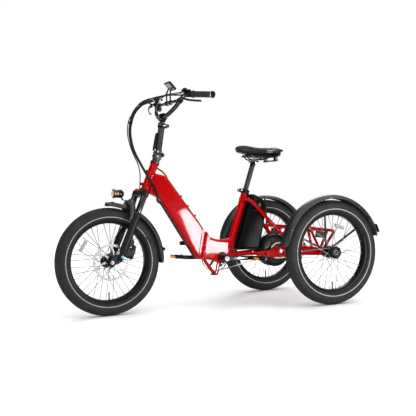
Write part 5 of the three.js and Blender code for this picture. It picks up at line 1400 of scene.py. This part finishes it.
cranks()
for label, side in SIDES:
    x, at_y = side * 146, side * 170
    cage = []
    for end in (1, -1):
        cage.append(block((90, 4.4, 16), (x, at_y + end * 28.4, 0), 1.8))
        cage += [block((7, 2.2, 4), (x + 12.5 * k, at_y + end * 30.2, 9.2), 0.8) for k in (-3, -2, 2, 3)]
        cage.append(block((5, 24, 15), (x + end * 41, at_y + 14, 0), 1.8))
        cage.append(block((5, 24, 15), (x + end * 41, at_y - 14, 0), 1.8))
    body = ring([(-46, 5.6), (-47, 6.6), (-47, 9.4), (-45, 10), (45, 10), (47, 9.4), (47, 6.6), (46, 5.6)],
        (x, at_y, 0), sides=32)
    webs = [block((8, 56, 13), (x + k * 18, at_y, 0), 1.6) for k in (-1, 1)]
    pedal_cap = lathe([(0, 8.4), (1.2, 8.4), (2.2, 7), (2.2, 0.4)], (x + side * 44.8, at_y, 0),
        (x + side * 45.8, at_y, 0), 28)
    lamps = [block((50, 3.2, 10), (x, at_y + end * 31, 0), 1.2) for end in (1, -1)]
    piece(f"pedal_{label}_cage", paint(PLASTIC, *each(in_crank, (*cage, body, *webs)))
        + paint(SILVER, in_crank(pedal_cap)), f"pedal_{label}", [f"pedal_{label}"], sharp=45)
    piece(f"pedal_{label}_reflectors", paint(AMBER, *each(in_crank, lamps)), f"pedal_{label}")


def measured(path):
    """How far along the path each of its points is."""
    lengths = [0.0]
    for p, q in zip(path, path[1:]):
        lengths.append(lengths[-1] + (q - p).length)
    return lengths


def chain(x, a, radius_a, b, radius_b):
    """A roller chain round two sprockets, link by link."""
    dy, dz = b[0] - a[0], b[1] - a[1]
    span = math.hypot(dy, dz)
    heading = math.atan2(dz, dy)
    spread = math.acos((radius_a - radius_b) / span)
    route = []

    def arc(middle, radius, start, end):
        count = max(2, int(abs(end - start) * radius / 1.5))
        for i in range(count + 1):
            t = start + (end - start) * i / count
            route.append(Vector((x, middle[0] + radius * math.cos(t), middle[1] + radius * math.sin(t))))

    arc(a, radius_a, heading + spread, heading + 2 * math.pi - spread)
    arc(b, radius_b, heading - spread, heading + spread)
    route.append(route[0])
    lengths = measured(route)
    count = 2 * round(lengths[-1] / CHAIN_PITCH / 2)
    pins, k = [], 0
    for i in range(count):
        want = lengths[-1] * i / count
        while lengths[k + 1] < want:
            k += 1
        pins.append(route[k].lerp(route[k + 1], (want - lengths[k]) / (lengths[k + 1] - lengths[k])))
    parts = []
    for i, p in enumerate(pins):
        q = pins[(i + 1) % count]
        along = (q - p).normalized()
        up = along.cross(Vector((1, 0, 0)))
        middle = (p + q) / 2
        turn = Matrix((Vector((1, 0, 0)), along, -up)).transposed()
        for s in (1, -1):
            parts.append(block((0.9, CHAIN_PITCH + 6.6, 6.6),
                tuple(middle + Vector((s * (2.6 if i % 2 else 1.7), 0, 0))), 0.4, turn, 1))
        parts.append(bar(p - Vector((3, 0, 0)), p + Vector((3, 0, 0)), 2.1, sides=10, ease=0.3))
    return parts


piece("drive_chain_links", paint(CHAIN, *chain(CHAIN_X, (CRANK_Y, CRANK_Z), 75.5, (MOTOR_Y, MOTOR_Z), 35)),
    "rear_frame", ["drive_chain"])
piece("axle_chain_links", paint(CHAIN, *chain(50, (MOTOR_Y, MOTOR_Z), 40.4, (REAR_Y, WHEEL_R), 40.4)),
    "rear_frame", ["axle_chain"])
shaft = [lathe([(0, 7.6), (0.8, 8.4), (665, 8.4), (666, 7.6)], (-283, REAR_Y, WHEEL_R), sides=32),
    ring([(36, 8), (36, 15), (47, 15), (47, 8)], (0, REAR_Y, WHEEL_R), sides=36)]
shaft_cog = sprocket(50, REAR_Y, WHEEL_R, 35.6, 24, 3.6, 8)
piece("axle_shaft_cog", paint(STEEL, *shaft) + paint(BRASS, shaft_cog), "rear_left_wheel", ["axle_shaft"])
piece("stub_axle_bar", paint(STEEL, lathe([(0, 7.6), (0.8, 8.4), (95, 8.4), (96, 7.6)], (-383, REAR_Y, WHEEL_R),
    sides=32)), "rear_right_wheel", ["stub_axle"])

# ---------- rear carriage ----------
ARM_X, END_X, RAIL_X = 86, 290, 240
arm_side = softened([(440, 292), (470, 296), (545, 290), (562, 265), (545, 240), (440, 243)], 9)
end_side = softened([(508, 262), (522, 292), (550, 292), (564, 262), (552, 240), (520, 240)], 10)
rail_front, rail_rear = (RAIL_X, 480, 388), (RAIL_X, 630, 365)


def carriage_half(s):
    tubes = [bar((s * 79.5, REAR_Y, WHEEL_R), (s * (END_X + 4), REAR_Y, WHEEL_R), 19, sides=40),
        plate(arm_side, 9, s * ARM_X, 1.6), plate(end_side, 9, s * END_X, 1.6),
        bar((s * 88, 452, 284), (s * (END_X - 2), 530, 276), 9, sides=24),
        bar((s * 88, 452, 248), (s * (END_X - 2), 530, 254), 9, sides=24),
        pipe([flip(p, s) for p in (rail_front, rail_rear, (RAIL_X, 564, 280))], 7.5, 18, 24, 10),
        bar((s * RAIL_X, 481, 386), (s * RAIL_X, 532, 281), 7.5, sides=24),
        bar((s * RAIL_X, 586, 370), (s * RAIL_X, 541, 281), 7.5, sides=24),
        bar((s * 216, 482, 386), (s * 216, 503, 282), 7.5, sides=24),]
    return tubes


piece("rear_carriage_tubes", paint(RED, *carriage_half(1), *carriage_half(-1),
    bar(flip(rail_front, -1), rail_front, 8, sides=24), bar((-RAIL_X, 622, 366.5), (RAIL_X, 622, 366.5), 7.5,
    sides=24)), "rear_frame", ["rear_carriage"], fuse=True, voxel=1.7, smooth=4)
carriage_bits, carriage_dark = [], []
for s in (1, -1):
    for t in (0.12, 0.46, 0.62, 0.86):
        carriage_bits.append(screw(Vector(flip(rail_front, s)).lerp(Vector(flip(rail_rear, s)), t)
            + Vector((0, 1.2, 7)), (0, 0.15, 1), 3.6, 3))
    carriage_bits += [screw((s * (ARM_X + 4.5), y, z), (s, 0, 0), 4.2, 2.6) for y,
        z in ((458, 284), (458, 252))]
    carriage_dark.append(block((3, 12, 16), (s * (ARM_X + 5.2), 536, 291), 1))
carriage_dark += [block((13, 52, 34), (s * (RAIL_X - 6), 545, 350), 3,
    Matrix.Rotation(math.radians(-9), 3, "X")) for s in (1, -1)]
piece("rear_carriage_fittings", paint(STEEL, *carriage_bits) + paint(PLASTIC, *carriage_dark), "rear_frame")

# ---------- cables ----------
harness = [(-196, -200, 1080), (-150, -262, 1066), (-74, -352, 1000), (-20, -396, 905), (4, -388, 810),
    (26, -348, 722), (32, -322, 672), (36, -292, 622), (36, -278, 584), (20, -274, 552), (12, -253, 543),
    (12, -73, 249)]
hose_low = in_fork(([Vector(p) for p in ((42, -38, -10), (43, -38, -78), (43, -24, -150), (43, 4, -226),
    (52, 31, -277))], []))[0]
hose = [(212, -206, 1068), (150, -262, 1066), (30, -336, 1040), (-34, -390, 975), (-10, -412, 895),
    (18, -402, 810), (42, -366, 716), *map(tuple, hose_low)]


def resampled(path, step):
    """The same path cut into even steps."""
    lengths = measured(path)
    count = max(2, int(lengths[-1] / step))
    out, k = [], 0
    for i in range(count + 1):
        want = lengths[-1] * i / count
        while k < len(path) - 2 and lengths[k + 1] < want:
            k += 1
        out.append(path[k].lerp(path[k + 1], (want - lengths[k]) / max(1e-6, lengths[k + 1] - lengths[k])))
    return out


def cut_at(path, heights):
    """The path in lengths, cut where it first falls below each height."""
    out, start = [], 0
    for height in heights:
        k = next(i for i in range(start + 1, len(path)) if path[i].z < height)
        out.append(path[start:k + 1])
        start = k
    out.append(path[start:])
    return out


def wrapped(start, end, depth, winds):
    """A section for a tapering cable in spiral wrap."""
    def section(u):
        r = start + (end - start) * u - depth * (0.5 + 0.5 * math.cos(2 * math.pi * u * winds)) ** 3
        return circle(r, 14)
    return section


def cable_run(name, points, radii, heights, bodies, node, wrap):
    """A cable in three lengths, cut where it first falls below each of the given heights."""
    lengths = cut_at(resampled(rounded(points, 100, 16), 1.5), heights)
    for k, (run, (above, below)) in enumerate(zip(lengths, bodies)):
        section = wrapped(radii[k], radii[k + 1], 0.6 if wrap else 0.0, len(run) * 1.5 / 7.0)
        verts, faces = sweep(run, section)
        cable = piece(f"{name}_{k + 1}", paint(CABLE, (verts, faces)), None, [node] if k == 0 else (),
            sharp=60)
        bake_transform(cable)


cable_run("harness_run", harness, (7.6, 7.8, 6.2, 5.4), (905, 700), (("handlebar", "stem_column"),
    ("stem_column", "steerer"), ("steerer", "front_frame")), "harness", True)
cable_run("brake_hose_run", hose, (2.6, 2.6, 2.6, 2.6), (925, 650), (("handlebar", "stem_column"),
    ("stem_column", "steerer"), ("steerer", "fork_lowers")), "brake_hose", False)
leads = {"lead_right_brake": [(-212, -206, 1066), (-176, -240, 1074), (-128, -300, 1050), (-86, -350, 1006),
    (-47, -380, 955)], "lead_throttle": [(-176, -189, 1086), (-158, -228, 1086), (-120, -292, 1060),
    (-82, -342, 1016), (-43, -378, 958)], "lead_display": [(-10, -186, 1108), (-14, -206, 1080),
    (-44, -240, 1062), (-82, -300, 1040), (-74, -348, 1000), (-45, -374, 962)],
    "lead_left_switch": [(176, -190, 1080), (90, -226, 1078), (-30, -282, 1066), (-76, -336, 1020),
    (-40, -374, 960)], "lead_left_brake": [(214, -204, 1060), (150, -262, 1064), (20, -330, 1050),
    (-44, -366, 1000), (-34, -386, 940)],}
for name, points in leads.items():
    piece(name, paint(CABLE, sweep(smooth_path(points, 10), circle(2.4, 10))), "handlebar")
ferrules = [lathe([(-6, 2.7), (-5, 3.6), (6, 3.6), (9, 2.6)], *points[:2], 16) for points in leads.values()]
piece("lead_ferrules", paint(PLASTIC, *ferrules), "handlebar")
boot = lathe([(0, 8.2), (0.6, 9), (9.4, 9), (10, 8.2)], (-45, -377, 952), (-31, -388, 926), 24)
piece("harness_boot", paint(PLASTIC, boot), "handlebar")


# ---------- stage ----------
def soft_light(name, at, aim, size, power, gloss_only=False, roll=0.0):
    data = bpy.data.lights.new(name, "AREA")
    data.shape = "RECTANGLE"
    data.size, data.size_y = size
    data.energy = power
    light = bpy.data.objects.new(name, data)
    light.location = at
    light.visible_camera = False
    light.visible_diffuse = not gloss_only
    turn = (Vector(aim) - Vector(at)).to_track_quat("-Z", "Y") @ Quaternion((0, 0, 1), math.radians(roll))
    light.rotation_euler = turn.to_euler()
    show(light)


world = bpy.data.worlds.new("studio")
bpy.context.scene.world = world
world.use_nodes = True
sky, sky_links = world.node_tree.nodes, world.node_tree.links
seen = sky.new("ShaderNodeBackground")
seen.inputs["Color"].default_value = (1.0, 1.0, 1.0, 1)
seen.inputs["Strength"].default_value = 1.0
sky["Background"].inputs["Color"].default_value = (1.0, 1.0, 1.0, 1)
sky["Background"].inputs["Strength"].default_value = 0.09
which = sky.new("ShaderNodeLightPath")
choose = sky.new("ShaderNodeMixShader")
sky_links.new(which.outputs["Is Camera Ray"], choose.inputs["Fac"])
sky_links.new(sky["Background"].outputs["Background"], choose.inputs[1])
sky_links.new(seen.outputs["Background"], choose.inputs[2])
sky_links.new(choose.outputs["Shader"], sky["World Output"].inputs["Surface"])
bpy.context.scene.view_settings.view_transform = "Standard"

overhead = bpy.data.objects.new("overhead", bpy.data.lights.new("overhead", "SUN"))
overhead.data.energy = 3.3
overhead.data.angle = math.radians(100)
overhead.rotation_euler = (math.radians(-6), math.radians(12), 0)
show(overhead)
soft_light("key", (4.6, -2.2, 2.2), (0, 0, 0.5), (1.6, 1.6), 46)
soft_light("low_panel", (3.0, 1.40, 0.20), (0.03, 0.0, 0.35), (0.40, 0.56), 76, gloss_only=True, roll=20)
soft_light("strip", (3.2, 2.1, 1.0), (0, 0.2, 0.5), (0.5, 1.6), 24)
soft_light("front", (0.8, -4.8, 1.6), (0, -0.4, 0.5), (1.6, 1.8), 34)
soft_light("rim", (-3.6, 2.4, 2.8), (0, 0, 0.5), (2.0, 2.0), 60)

floor_mesh = bpy.data.meshes.new("studio_floor")
reach = 30.0
floor_mesh.from_pydata([(-reach, -reach, -0.0005), (reach, -reach, -0.0005), (reach, reach, -0.0005),
    (-reach, reach, -0.0005)], [], [(0, 1, 2, 3)])
floor = bpy.data.objects.new("studio_floor", floor_mesh)
show(floor)
floor_mesh.materials.append(material("studio_floor", (0.965, 0.965, 0.965), 0.7, vary=0.004, scale=3, bump=0.02,
    bump_scale=40))
